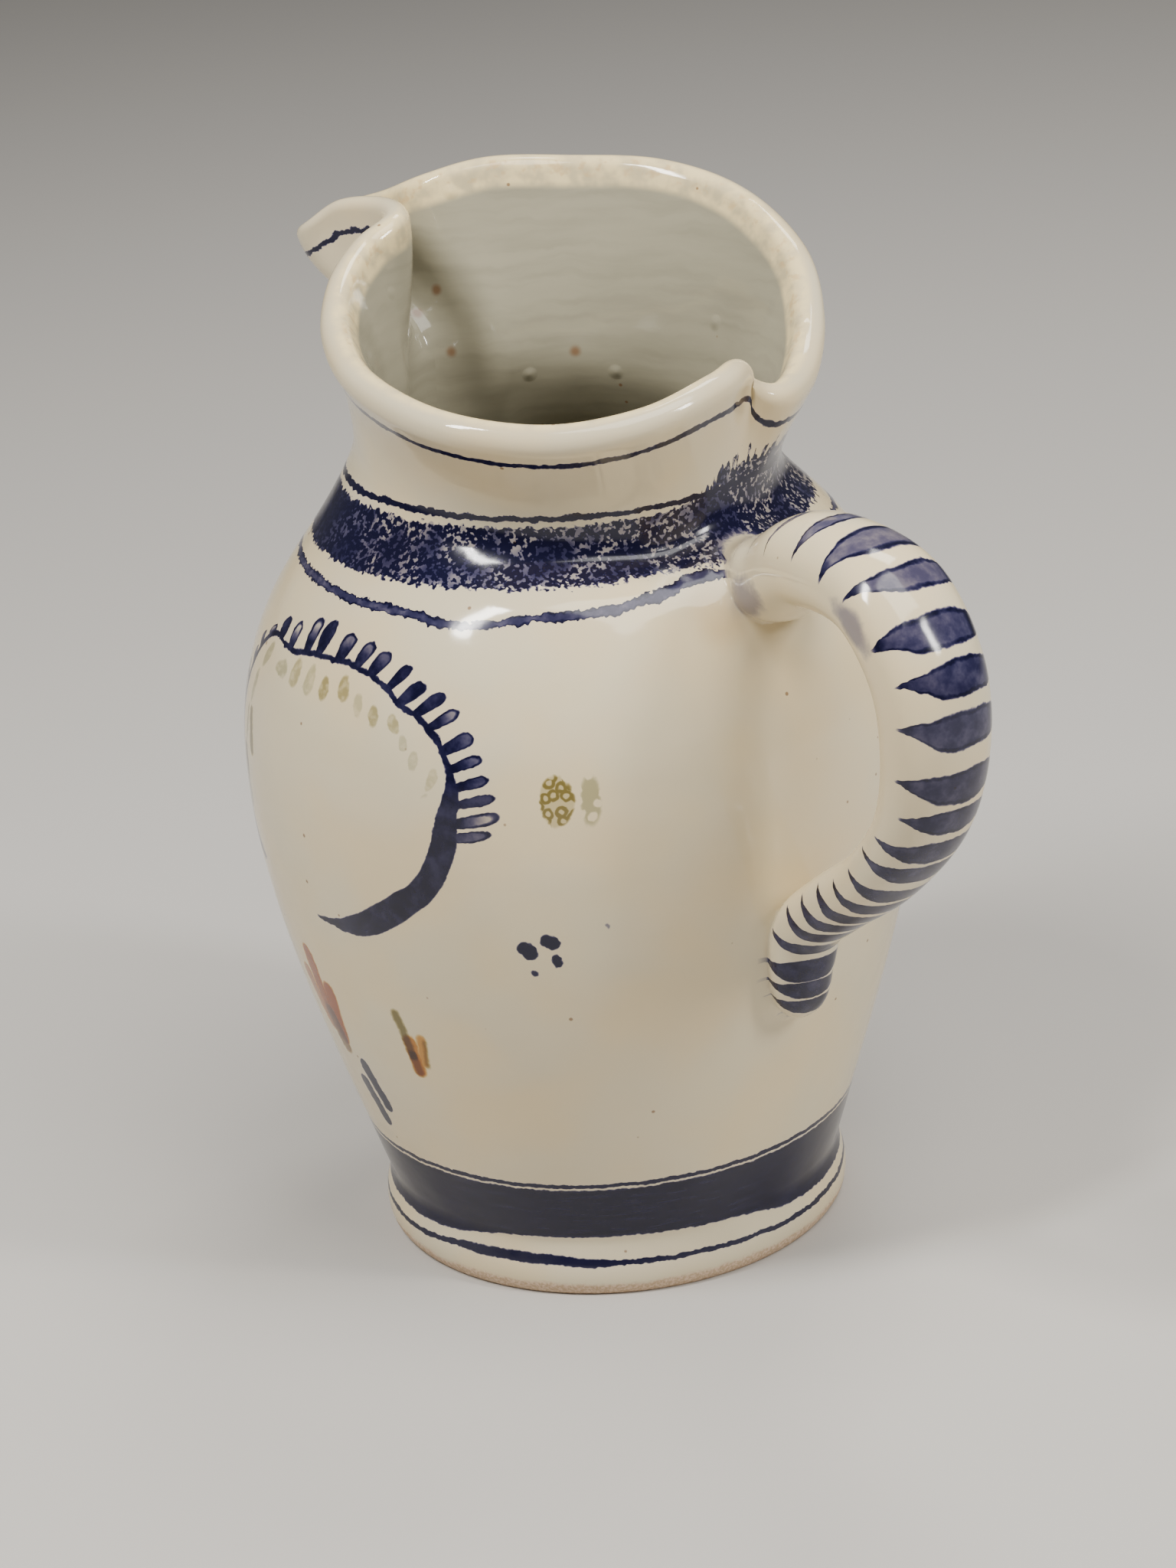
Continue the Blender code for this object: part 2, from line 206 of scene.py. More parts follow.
STRAP = (
    StrapStation("upper root", -11.2 * MM, 30.8 * MM, 5.0 * MM, 15.8 * MM, 14.0 * MM),
    StrapStation("leaving the shoulder", -3.6 * MM, 34.6 * MM, 4.0 * MM, 16.2 * MM, 13.4 * MM),
    StrapStation("crest", 6.8 * MM, 39.5 * MM, 2.2 * MM, 17.4 * MM, 13.4 * MM),
    StrapStation("turning down", 21.8 * MM, 38.9 * MM, 0.6 * MM, 18.2 * MM, 12.4 * MM),
    StrapStation("upper bend", 30.0 * MM, 30.6 * MM, 0.0, 18.0 * MM, 11.6 * MM),
    StrapStation("widest", 31.4 * MM, 19.8 * MM, 0.0, 17.4 * MM, 11.2 * MM),
    StrapStation("lower bend", 28.2 * MM, 8.2 * MM, 0.0, 16.0 * MM, 10.4 * MM),
    StrapStation("turning in", 19.4 * MM, -2.2 * MM, 0.0, 13.8 * MM, 9.8 * MM),
    StrapStation("lower limb", 9.0 * MM, -9.8 * MM, 0.0, 12.4 * MM, 9.6 * MM),
)
TAIL = (
    StrapStation("meeting the belly", 2.4 * MM, -16.4 * MM, 0.0, 12.0 * MM, 9.2 * MM),
    StrapStation("tail", 1.0 * MM, -23.2 * MM, 0.0, 11.2 * MM, 8.8 * MM),
    StrapStation("tail, lower", 0.6 * MM, -28.8 * MM, 0.6 * MM, 9.8 * MM, 7.8 * MM),
    StrapStation("tail's tip", -0.4 * MM, -33.0 * MM, 1.0 * MM, 5.8 * MM, 5.0 * MM),
)


@dataclass(frozen=True)
class ThrownBody:
    """The thrown body: its turned profile, raked neck, throat and pulled mouth."""

    base_radius: float = 36.4 * MM
    foot_radius: float = 37.6 * MM
    foot_height: float = 3.4 * MM
    waist_radius: float = 36.5 * MM
    waist_height: float = 9.2 * MM
    waist_slope: float = 0.30
    belly_radius: float = 52.7 * MM
    belly_height: float = 80.2 * MM
    shoulder_radius: float = 41.9 * MM
    shoulder_height: float = 112.5 * MM
    shoulder_slope: float = -0.78
    neck_radius: float = 32.3 * MM
    neck_height: float = 127.0 * MM
    neck_rake: float = 6.5 * MM
    neck_shift: float = 1.1 * MM
    neck_shift_angle: float = 51.0
    wall: float = 4.6 * MM
    floor: float = 6.5 * MM
    floor_corner: float = 9.0 * MM
    collar: float = 20.0 * MM
    slope_step: float = 0.01
    angle_smoothing: float = 0.05
    smoothing_passes: int = 2
    throat_angle: float = -176.0
    throat_half_angle: float = 23.0
    throat_depth: float = 6.0 * MM
    throat_drop: float = 15.0 * MM
    columns: int = 288
    rim_steps: int = 24
    underside_rows: int = 4
    foot_rows: int = 7
    waist_rows: int = 8
    wall_rows: int = 84
    collar_rows: int = 22
    lip_rows: int = 14
    inner_rows: int = 58
    corner_rows: int = 10
    floor_rows: int = 6

    @property
    def neck_middle(self) -> float:
        """Radius of the middle of the neck's wall."""
        return self.neck_radius - self.wall / 2

    def outer_radius(self, height: float) -> float:
        """Radius of the outer side at a height up to the neck."""
        stations = (
            (0.0, self.base_radius, 1.0),
            (self.foot_height, self.foot_radius, 0.0),
            (self.waist_height, self.waist_radius, 0.0),
            (self.belly_height, self.belly_radius, 0.0),
            (self.shoulder_height, self.shoulder_radius, self.shoulder_slope),
            (self.neck_height, self.neck_radius, 0.0),
        )
        for lower, upper in zip(stations, stations[1:]):
            if height <= upper[0] or upper is stations[-1]:
                leaving = self.waist_slope if lower[0] == self.waist_height else lower[2]
                span = upper[0] - lower[0]
                share = min((height - lower[0]) / span, 1.0)
                return hermite(lower[1], upper[1], leaving, upper[2], span, share)

    def neck_move(self, angle: Amount, height: float) -> np.ndarray:
        """How the raked, shifted neck displaces points of the straight body."""
        rise = self.neck_height - self.shoulder_height
        share = smooth((height - self.shoulder_height) / rise) * np.ones_like(angle)
        side = math.radians(self.neck_shift_angle)
        return np.stack([self.neck_shift * math.cos(side) * share,
                         self.neck_shift * math.sin(side) * share,
                         -self.neck_rake * np.cos(angle) * share], axis=-1)

    def throat(self, angle: Amount, height: float) -> Amount:
        """How far the spout's groove pushes the wall out, at angles in radians and a height."""
        turn = (np.degrees(angle) - self.throat_angle + 180.0) % 360.0 - 180.0
        across = np.maximum(0.0, 1.0 - (turn / self.throat_half_angle) ** 2)
        down = smooth(1.0 - (self.neck_height - height) / self.throat_drop)
        return self.throat_depth * across**2 * down

    def outline(self) -> list[tuple[float, float]]:
        """Outline of the wall on the XZ plane, from the underside's middle to the floor's."""
        top = self.neck_height + self.collar
        corner = self.floor + self.floor_corner
        middle, half = self.neck_middle, self.wall / 2
        foot = np.linspace(0.0, self.foot_height, self.foot_rows + 1)
        waist = np.linspace(self.foot_height, self.waist_height, self.waist_rows + 1)[1:]
        wall = np.linspace(self.waist_height, self.neck_height, self.wall_rows + 1)[1:]
        collar = np.linspace(self.neck_height, top, self.collar_rows + 1)
        inner = np.linspace(self.neck_height, corner, self.inner_rows + 1)[1:]
        lip = np.linspace(0.0, math.pi, self.lip_rows + 1)[1:-1]
        turns = np.linspace(0.0, math.pi / 2, self.corner_rows + 1)[1:]
        points = [(r, 0.0) for r in np.linspace(0.0, self.base_radius, self.underside_rows + 1)[:-1]]
        points += [(self.outer_radius(h), h) for h in (*foot, *waist, *wall)]
        points += [(self.neck_radius, h) for h in collar[1:]]
        points += [(middle + half * math.cos(t), top + half * math.sin(t)) for t in lip]
        points += [(self.neck_radius - self.wall, h) for h in collar[::-1]]
        points += [(self.outer_radius(h) - self.wall, h) for h in inner]
        corner_radius = self.outer_radius(corner) - self.wall
        points += [(corner_radius - self.floor_corner * (1 - math.cos(t)),
                    corner - self.floor_corner * math.sin(t)) for t in turns]
        flat = np.linspace(corner_radius - self.floor_corner, 0.0, self.floor_rows + 1)[1:]
        points += [(r, self.floor) for r in flat]
        return points

    def rim(self) -> tuple[np.ndarray, np.ndarray, np.ndarray]:
        """The rim at each column: its rows, the neck's angles below it, and the way out."""
        stations = []
        for s in RIM:
            turn, radius = math.radians(s.angle), self.neck_middle + s.out
            stations.append((radius * math.cos(turn), radius * math.sin(turn),
                             self.neck_height + s.rise, math.radians(s.lean), s.thickness))
        rim = evenly(spline(stations[::-1], True, self.rim_steps), self.columns, True)
        angles = np.unwrap(np.arctan2(rim[:, 1], rim[:, 0]))
        reach = round(self.angle_smoothing * self.columns)
        pad = self.smoothing_passes * reach
        padded = np.concatenate([angles[-pad:] - math.tau, angles, angles[:pad] + math.tau])
        kernel = np.ones(2 * reach + 1) / (2 * reach + 1)
        for _ in range(self.smoothing_passes):
            padded = np.convolve(padded, kernel, "same")
        along = np.roll(rim[:, :2], -1, axis=0) - np.roll(rim[:, :2], 1, axis=0)
        along /= np.linalg.norm(along, axis=1)[:, None]
        out = np.column_stack([along[:, 1], -along[:, 0], np.zeros(self.columns)])
        return rim, padded[pad:-pad], out

    def grid(self) -> tuple[np.ndarray, np.ndarray]:
        """Where each row and column of the body goes.

        Returns:
            The places, by row and column, and how far each lies below the rim's top along the
            outer side, which is negative on the inner side.
        """
        rim, angles, out = self.rim()
        up = np.array([0.0, 0.0, 1.0])
        radial = np.column_stack([np.cos(angles), np.sin(angles), np.zeros(self.columns)])
        neck = radial * (self.neck_middle + self.throat(angles, self.neck_height))[:, None]
        neck += up * self.neck_height + self.neck_move(angles, self.neck_height)
        edge = rim[:, :3]
        lean = rim[:, 3][:, None]
        leaving = up * np.cos(lean) + out * np.sin(lean)
        span = np.linalg.norm(edge - neck, axis=1)[:, None]
        ends = (neck, edge, up, leaving, span)
        rows = []
        points = self.outline()
        for radius, height in points:
            if height <= self.neck_height:
                wide = radius + (self.throat(angles, height) if radius > self.base_radius / 2 else 0.0)
                place = radial * np.broadcast_to(wide, (self.columns,))[:, None] + up * height
                rows.append(place + self.neck_move(angles, height) * (radius > 0.0))
                continue
            above = height - self.neck_height
            share = min(above / self.collar, 1.0)
            wall_up = hermite(*ends, share + self.slope_step) - hermite(*ends, share - self.slope_step)
            wall_up /= np.linalg.norm(wall_up, axis=1)[:, None]
            side = radial * (1.0 - share) + out * share
            side -= wall_up * np.sum(side * wall_up, axis=1)[:, None]
            side /= np.linalg.norm(side, axis=1)[:, None]
            swell = 1.0 + (rim[:, 4][:, None] / self.wall - 1.0) * share
            rows.append(hermite(*ends, share) + side * (radius - self.neck_middle) * swell
                        + wall_up * max(above - self.collar, 0.0) * swell)
        places = np.array(rows)
        steps = np.linalg.norm(np.diff(places, axis=0), axis=2)
        length = np.concatenate([np.zeros((1, self.columns)), np.cumsum(steps, axis=0)])
        top = max(range(len(points)), key=lambda row: points[row][1])
        return places, length[top] - length

    def build(self) -> tuple[bmesh.types.BMesh, np.ndarray]:
        """Spin the outline and shape the result.

        Returns:
            The closed body, and each vertex's distance below the rim.
        """
        bm = bmesh.new()
        row_of = bm.verts.layers.int.new("row")
        points = self.outline()
        verts = [bm.verts.new((x, 0.0, z)) for x, z in points]
        for row, vert in enumerate(verts):
            vert[row_of] = row
        edges = [bm.edges.new(pair) for pair in zip(verts, verts[1:])]
        bmesh.ops.spin(bm, geom=verts + edges, cent=(0, 0, 0), axis=(0, 0, 1), dvec=(0, 0, 0),
                       angle=math.tau, steps=self.columns, use_merge=True, use_duplicate=False)
        bmesh.ops.remove_doubles(bm, verts=bm.verts, dist=MERGE_DISTANCE)
        places, depths = self.grid()
        below = np.zeros(len(bm.verts))
        for i, vert in enumerate(bm.verts):
            turn = math.atan2(vert.co.y, vert.co.x) / math.tau
            column = round(turn * self.columns) % self.columns
            vert.co = places[vert[row_of], column]
            below[i] = depths[vert[row_of], column]
        bmesh.ops.recalc_face_normals(bm, faces=bm.faces)
        return bm, below


@dataclass(frozen=True)
class StrapHandle:
    """The strap handle, from inside the shoulder's wall to the tail pressed on the belly."""

    outer_share: float = 0.58
    squareness: float = 0.92
    sides: int = 48
    rings: int = 170
    steps: int = 16
    bar: float = 1.0
    tip_length: float = 3.0 * MM
    tip_least: float = 0.12
    rake_passes: int = 12

    def path(self, body: ThrownBody) -> np.ndarray:
        """The middle line at even steps: x, z, side, width and thickness."""
        stations = [(body.belly_radius + s.out, body.belly_height + s.rise, s.side, s.width,
                     s.thickness) for s in STRAP]
        stations += [(body.outer_radius(body.belly_height + s.rise) + s.out,
                      body.belly_height + s.rise, s.side, s.width, s.thickness) for s in TAIL]
        return evenly(spline(stations, False, self.steps), self.rings, False)

    def wall_behind(self, body: ThrownBody, height: float) -> float:
        """How far the outer wall stands from the axis on the handle's side."""
        straight = height
        for _ in range(self.rake_passes):
            straight = height - body.neck_move(np.array(0.0), straight)[2]
        return body.outer_radius(straight) + body.neck_move(np.array(0.0), straight)[0]

    def build(self, body: ThrownBody) -> tuple[bmesh.types.BMesh, np.ndarray]:
        """Bend a straight bar into the strap.

        Args:
            body: what the handle is pressed on.

        Returns:
            The closed strap, and for each vertex its distance along the strap, how far it lies
            to the side (-1 to 1) and how far it faces outwards (-1 to 1).
        """
        path = self.path(body)
        run = np.linalg.norm(np.diff(path[:, :3], axis=0), axis=1)
        length = np.concatenate([[0.0], np.cumsum(run)])
        bm = bmesh.new()
        bmesh.ops.create_cone(bm, segments=self.sides, radius1=1.0, radius2=1.0, depth=self.bar,
                              cap_ends=True)
        long_edges = [edge for edge in bm.edges
                      if abs(edge.verts[0].co.z - edge.verts[1].co.z) > self.bar / 2]
        bmesh.ops.subdivide_edges(bm, edges=long_edges, cuts=self.rings - 2, use_grid_fill=True)
        values = np.zeros((len(bm.verts), 3))
        for i, vert in enumerate(bm.verts):
            ring = round((vert.co.z / self.bar + 0.5) * (self.rings - 1))
            x, z, side, width, thickness = path[ring]
            ahead, behind = path[min(ring + 1, self.rings - 1)], path[max(ring - 1, 0)]
            along = Vector((ahead[0] - behind[0], 0.0, ahead[1] - behind[1])).normalized()
            outward = Vector((-along.z, 0.0, along.x))
            left = length[-1] - length[ring]
            tip = math.sqrt(max(self.tip_least**2, 1.0 - max(1.0 - left / self.tip_length, 0.0) ** 2))
            facing, sideways = vert.co.x, vert.co.y
            share = self.outer_share if facing > 0.0 else 1.0 - self.outer_share
            lift = math.copysign(abs(facing) ** self.squareness, facing)
            spread = math.copysign(abs(sideways) ** self.squareness, sideways)
            place = Vector((x, 0.0, z)) + outward * thickness * share * lift * tip
            place.y = side + width / 2 * spread * tip
            if ring == 0:
                inside = self.wall_behind(body, place.z) - body.wall / 2
                place.x = math.sqrt(inside**2 - place.y**2)
            vert.co = place
            values[i] = (length[ring], sideways, facing)
        bmesh.ops.recalc_face_normals(bm, faces=bm.faces)
        return bm, values


class Skin:
    """A surface that hands the values of its vertices on to points beside it."""

    def __init__(self, bm: bmesh.types.BMesh, values: np.ndarray) -> None:
        """Take the surface as it is now, with one row of three values for each vertex."""
        copy = bm.copy()
        bmesh.ops.triangulate(copy, faces=copy.faces)
        self.verts = [vert.co.copy() for vert in copy.verts]
        self.tris = [tuple(vert.index for vert in face.verts) for face in copy.faces]
        self.values = [Vector(row) for row in values]
        self.tree = BVHTree.FromPolygons(self.verts, self.tris)
        copy.free()

    def read(self, point: Vector) -> tuple[Vector, float]:
        """The values at the surface's nearest place, and how far away that is."""
        place, _, index, distance = self.tree.find_nearest(point)
        a, b, c = self.tris[index]
        corners = (self.verts[a], self.verts[b], self.verts[c])
        shares = (self.values[a], self.values[b], self.values[c])
        return barycentric_transform(place, *corners, *shares), distance


@dataclass(frozen=True)
class Joining:
    """How the handle is fused to the body: clay smoothed into a fillet."""

    root_fillet: float = 6.0 * MM
    tail_fillet: float = 2.6 * MM
    split_height: float = 88.0 * MM
    smoothing: tuple[float, ...] = (2.4 * MM, 2.0 * MM, 1.6 * MM, 1.2 * MM, 0.9 * MM)
    strength: float = 0.5
    sliver: float = 0.06 * MM
    blend: float = 1.2 * MM

    def swell(self, bm: bmesh.types.BMesh, other: BVHTree, chosen: list[bool]) -> None:
        """Push the chosen vertices out where the other surface is near."""
        moves = []
        for vert, wanted in zip(bm.verts, chosen):
            reach = self.root_fillet if vert.co.z > self.split_height else self.tail_fillet
            hit = other.find_nearest(vert.co, reach) if wanted else (None,)
            if hit[0] is not None:
                moves.append((vert, vert.normal * (1.0 - hit[3] / reach) ** 2 * reach / 4))
        for vert, move in moves:
            vert.co += move

    def fuse(self, name: str, body: bmesh.types.BMesh, strap: bmesh.types.BMesh) -> bmesh.types.BMesh:
        """Unite the two closed surfaces.

        Args:
            name: of the helper objects.
            body: the thrown body.
            strap: the handle.

        Returns:
            The united surface, in triangles and quads.
        """
        helpers = []
        for bm in (body, strap):
            mesh = bpy.data.meshes.new(name)
            bm.to_mesh(mesh)
            helpers.append(bpy.data.objects.new(name, mesh))
            bpy.context.collection.objects.link(helpers[-1])
        union = helpers[0].modifiers.new("fuse the handle", "BOOLEAN")
        union.operation = "UNION"
        union.solver = "EXACT"
        union.object = helpers[1]
        graph = bpy.context.evaluated_depsgraph_get()
        mesh = bpy.data.meshes.new_from_object(helpers[0].evaluated_get(graph))
        fused = bmesh.new()
        fused.from_mesh(mesh)
        for helper in helpers:
            bpy.data.objects.remove(helper)
        bmesh.ops.dissolve_degenerate(fused, edges=fused.edges, dist=self.sliver)
        bmesh.ops.triangulate(fused, faces=[face for face in fused.faces if len(face.verts) > 4])
        return fused

    def soften(self, fused: bmesh.types.BMesh, body: Skin, strap: Skin) -> None:
        """Round off the crease between the two, step by step from wide to narrow."""
        for reach in self.smoothing:
            near = []
            for vert in fused.verts:
                if strap.tree.find_nearest(vert.co, reach)[0] is None:
                    continue
                below, far = body.read(vert.co)
                if far < reach and below.x > 0.0:
                    near.append(vert)
            bmesh.ops.smooth_vert(fused, verts=near, factor=self.strength, use_axis_x=True,
                                  use_axis_y=True, use_axis_z=True)


class Wire:
    """An output of a node that combines with numbers and other outputs by arithmetic."""

    def __init__(self, graph: "Graph", socket: bpy.types.NodeSocket) -> None:
        """Wrap a node's output socket."""
        self.graph = graph
        self.socket = socket

    def __add__(self, other: Reading) -> "Wire":
        """The sum."""
        return self.graph.maths("ADD", self, other)

    def __sub__(self, other: Reading) -> "Wire":
        """The difference."""
        return self.graph.maths("SUBTRACT", self, other)

    def __rsub__(self, other: Reading) -> "Wire":
        """The difference, the other way round."""
        return self.graph.maths("SUBTRACT", other, self)

    def __mul__(self, other: Reading) -> "Wire":
        """The product."""
        return self.graph.maths("MULTIPLY", self, other)

    def __truediv__(self, other: Reading) -> "Wire":
        """The quotient."""
        return self.graph.maths("DIVIDE", self, other)

    def __pow__(self, other: Reading) -> "Wire":
        """This to a power."""
        return self.graph.maths("POWER", self, other)

    def __rpow__(self, other: Reading) -> "Wire":
        """A number to the power of this."""
        return self.graph.maths("POWER", other, self)

    def __abs__(self) -> "Wire":
        """The size without its sign."""
        return self.graph.maths("ABSOLUTE", self)

    def __or__(self, other: Reading) -> "Wire":
        """The larger of the two, as the union of two marks."""
        return self.graph.maths("MAXIMUM", self, other)

    __radd__ = __add__
    __rmul__ = __mul__


class Graph:
    """A material's node tree, with short calls that add nodes to it."""

    def __init__(self, name: str) -> None:
        """Start a material with a Principled shader."""
        self.material = bpy.data.materials.new(name)
        self.material.use_nodes = True
        self.tree = self.material.node_tree
        self.shader = self.tree.nodes["Principled BSDF"]

    def put(self, socket: bpy.types.NodeSocket, value: Reading) -> None:
        """Link a wire to a socket, or set the socket's own value."""
        if isinstance(value, Wire):
            self.tree.links.new(value.socket, socket)
        elif hasattr(value, "__len__") and len(value) == 3 and len(socket.default_value) == 4:
            socket.default_value = (*value, 1.0)
        else:
            socket.default_value = value

    def node(self, kind: str, inputs: dict, output: str | int = 0,
             **settings: str | bool) -> Wire:
        """Add a node.

        Args:
            kind: the node's type.
            inputs: values or wires by the socket's name or number.
            output: name or number of the output to return.
            settings: the node's properties.

        Returns:
            The chosen output.
        """
        node = self.tree.nodes.new(kind)
        for key, value in settings.items():
            setattr(node, key, value)
        for key, value in inputs.items():
            self.put(node.inputs[key], value)
        return Wire(self, node.outputs[output])

    def maths(self, operation: str, *values: Reading, clamp: bool = False) -> Wire:
        """One step of arithmetic."""
        return self.node("ShaderNodeMath", dict(enumerate(values)), operation=operation,
                         use_clamp=clamp)

    def vector(self, operation: str, *values: Reading, output: int = 0) -> Wire:
        """One step of vector arithmetic."""
        return self.node("ShaderNodeVectorMath", dict(enumerate(values)), output,
                         operation=operation)

    def rise(self, value: Reading, low: Reading, high: Reading, start: Reading = 0.0,
             end: Reading = 1.0) -> Wire:
        """A smooth step from start at low to end at high, where low may be the larger."""
        inputs = {"Value": value, "From Min": low, "From Max": high, "To Min": start, "To Max": end}
        return self.node("ShaderNodeMapRange", inputs, interpolation_type="SMOOTHSTEP")

    def between(self, value: Wire, low: Reading, high: Reading, soft: float) -> Wire:
        """1 between low and high, falling to 0 over the soft width outside them."""
        return self.rise(value - low, -soft, 0.0) * self.rise(value - high, soft, 0.0)

    def curve(self, value: Wire, points: tuple) -> Wire:
        """A smooth curve through points of value and result."""
        xs, ys = [p[0] for p in points], [p[1] for p in points]
        low, high, least, most = min(xs), max(xs), min(ys), max(ys)
        share = self.maths("MULTIPLY_ADD", value, 1 / (high - low), -low / (high - low))
        node = self.tree.nodes.new("ShaderNodeFloatCurve")
        curve = node.mapping.curves[0]
        for index, (x, y) in enumerate(points):
            place = ((x - low) / (high - low), (y - least) / (most - least))
            if index < 2:
                point = curve.points[index]
                point.location = place if index == 0 else (1.0, place[1])
            if index > 0 and index < len(points) - 1:
                curve.points.new(*place)
        curve.points[len(curve.points) - 1].location = (1.0, (ys[-1] - least) / (most - least))
        node.mapping.update()
        self.put(node.inputs["Value"], share)
        return self.maths("MULTIPLY_ADD", Wire(self, node.outputs[0]), most - least, least)

    def noise(self, place: Wire, size: float, detail: float = 2.0, roughness: float = 0.5) -> Wire:
        """Noise whose features have about this size, in millimetres."""
        inputs = {"Vector": place, "Scale": 1.0 / size, "Detail": detail, "Roughness": roughness}
        return self.node("ShaderNodeTexNoise", inputs)

    def cells(self, place: Wire, size: float, dimensions: str = "3D") -> Wire:
        """Distance from the middle of Voronoi cells of about this size, in millimetres."""
        inputs = {"Vector": place, "Scale": 1.0 / size}
        return self.node("ShaderNodeTexVoronoi", inputs, voronoi_dimensions=dimensions)

    def random(self, value: Wire, seed: float) -> Wire:
        """A random number from 0 to 1 for each whole value."""
        return self.node("ShaderNodeTexWhiteNoise", {"W": value + seed}, "Value",
                         noise_dimensions="1D")

    def blend(self, kind: str, share: Reading, first: Reading, second: Reading) -> Wire:
        """Put one colour over another, in the way that kind names."""
        node = self.tree.nodes.new("ShaderNodeMix")
        node.data_type = "RGBA"
        node.blend_type = kind
        for name, value in (("Factor_Float", share), ("A_Color", first), ("B_Color", second)):
            socket = next(socket for socket in node.inputs if socket.identifier == name)
            self.put(socket, value)
        return Wire(self, next(out for out in node.outputs if out.identifier == "Result_Color"))

    def mix(self, share: Reading, first: Reading, second: Reading) -> Wire:
        """Blend two colours."""
        return self.blend("MIX", share, first, second)

    def times(self, first: Reading, second: Reading) -> Wire:
        """Multiply two colours."""
        return self.blend("MULTIPLY", 1.0, first, second)

    def split(self, point: Wire) -> tuple[Wire, Wire, Wire]:
        """A point's three coordinates."""
        node = self.tree.nodes.new("ShaderNodeSeparateXYZ")
        self.put(node.inputs[0], point)
        return tuple(Wire(self, socket) for socket in node.outputs)

    def scaled(self, vector: Reading, factor: Reading) -> Wire:
        """A vector times a number."""
        node = self.vector("SCALE", vector).socket.node
        self.put(node.inputs["Scale"], factor)
        return Wire(self, node.outputs[0])

    def combine(self, x: Reading, y: Reading) -> Wire:
        """A flat point from its two coordinates."""
        return self.node("ShaderNodeCombineXYZ", {"X": x, "Y": y})

    def attribute(self, name: str) -> Wire:
        """A value stored on the mesh."""
        return self.node("ShaderNodeAttribute", {}, "Fac", attribute_name=name)


class Pigment(Enum):
    """Colours under or on the glaze, as what they let through at full strength."""

    COBALT = (0.007, 0.008, 0.062)
    OLIVE = (0.17, 0.155, 0.06)
    SAGE = (0.34, 0.37, 0.28)
    OCHRE = (0.55, 0.24, 0.04)
    BROWN = (0.20, 0.11, 0.035)


@dataclass(frozen=True)
class Touch:
    """One touch of the brush on the body: from one place to another, in degrees and mm."""

    start: tuple[float, float]
    end: tuple[float, float]
    width: float
    pigment: Pigment
    strength: float = 1.0

    @property
    def softness(self) -> float:
        """How wide the stroke's edge fades, in mm: the dark blue is crisp, the washes soft."""
        return 0.3 if self.pigment is Pigment.COBALT else 0.8


TOUCHES = (
    Touch((-46.9, 65.6), (-46.2, 65.0), 2.7, Pigment.COBALT),
    Touch((-43.2, 66.9), (-42.4, 66.6), 2.5, Pigment.COBALT),
    Touch((-42.0, 64.0), (-41.6, 63.2), 1.5, Pigment.COBALT),
    Touch((-45.8, 61.7), (-45.4, 61.5), 1.0, Pigment.COBALT, 0.8),
    Touch((-33.4, 69.1), (-33.1, 68.9), 0.8, Pigment.COBALT, 0.25),
    Touch((-74.4, 51.0), (-73.2, 43.5), 2.4, Pigment.OLIVE, 0.8),
    Touch((-73.0, 46.0), (-72.6, 41.0), 3.4, Pigment.OCHRE, 0.95),
    Touch((-73.2, 43.5), (-72.8, 40.6), 2.6, Pigment.BROWN, 0.6),
    Touch((-70.2, 47.0), (-71.0, 42.5), 2.4, Pigment.OCHRE, 0.7),
    Touch((-69.6, 46.5), (-70.4, 42.0), 1.6, Pigment.OLIVE, 0.45),
    Touch((-110.8, 91.6), (-109.2, 86.2), 2.6, Pigment.OLIVE, 0.75),
    Touch((-114.8, 84.6), (-114.0, 81.0), 2.8, Pigment.OLIVE, 0.9),
    Touch((-114.1, 79.6), (-113.4, 76.4), 2.6, Pigment.SAGE, 0.9),
    Touch((-90.9, 36.6), (-88.2, 30.2), 3.1, Pigment.COBALT, 0.9),
    Touch((-94.0, 32.8), (-91.4, 26.7), 3.1, Pigment.COBALT, 0.9),
    Touch((-98.4, 55.0), (-97.6, 45.0), 4.2, Pigment.OCHRE, 1.6),
    Touch((-94.0, 49.5), (-95.6, 41.5), 4.4, Pigment.OCHRE, 1.7),
    Touch((-102.4, 50.5), (-99.4, 42.5), 3.8, Pigment.OCHRE, 1.1),
    Touch((-97.6, 44.5), (-96.4, 39.5), 4.4, Pigment.BROWN, 0.75),
)


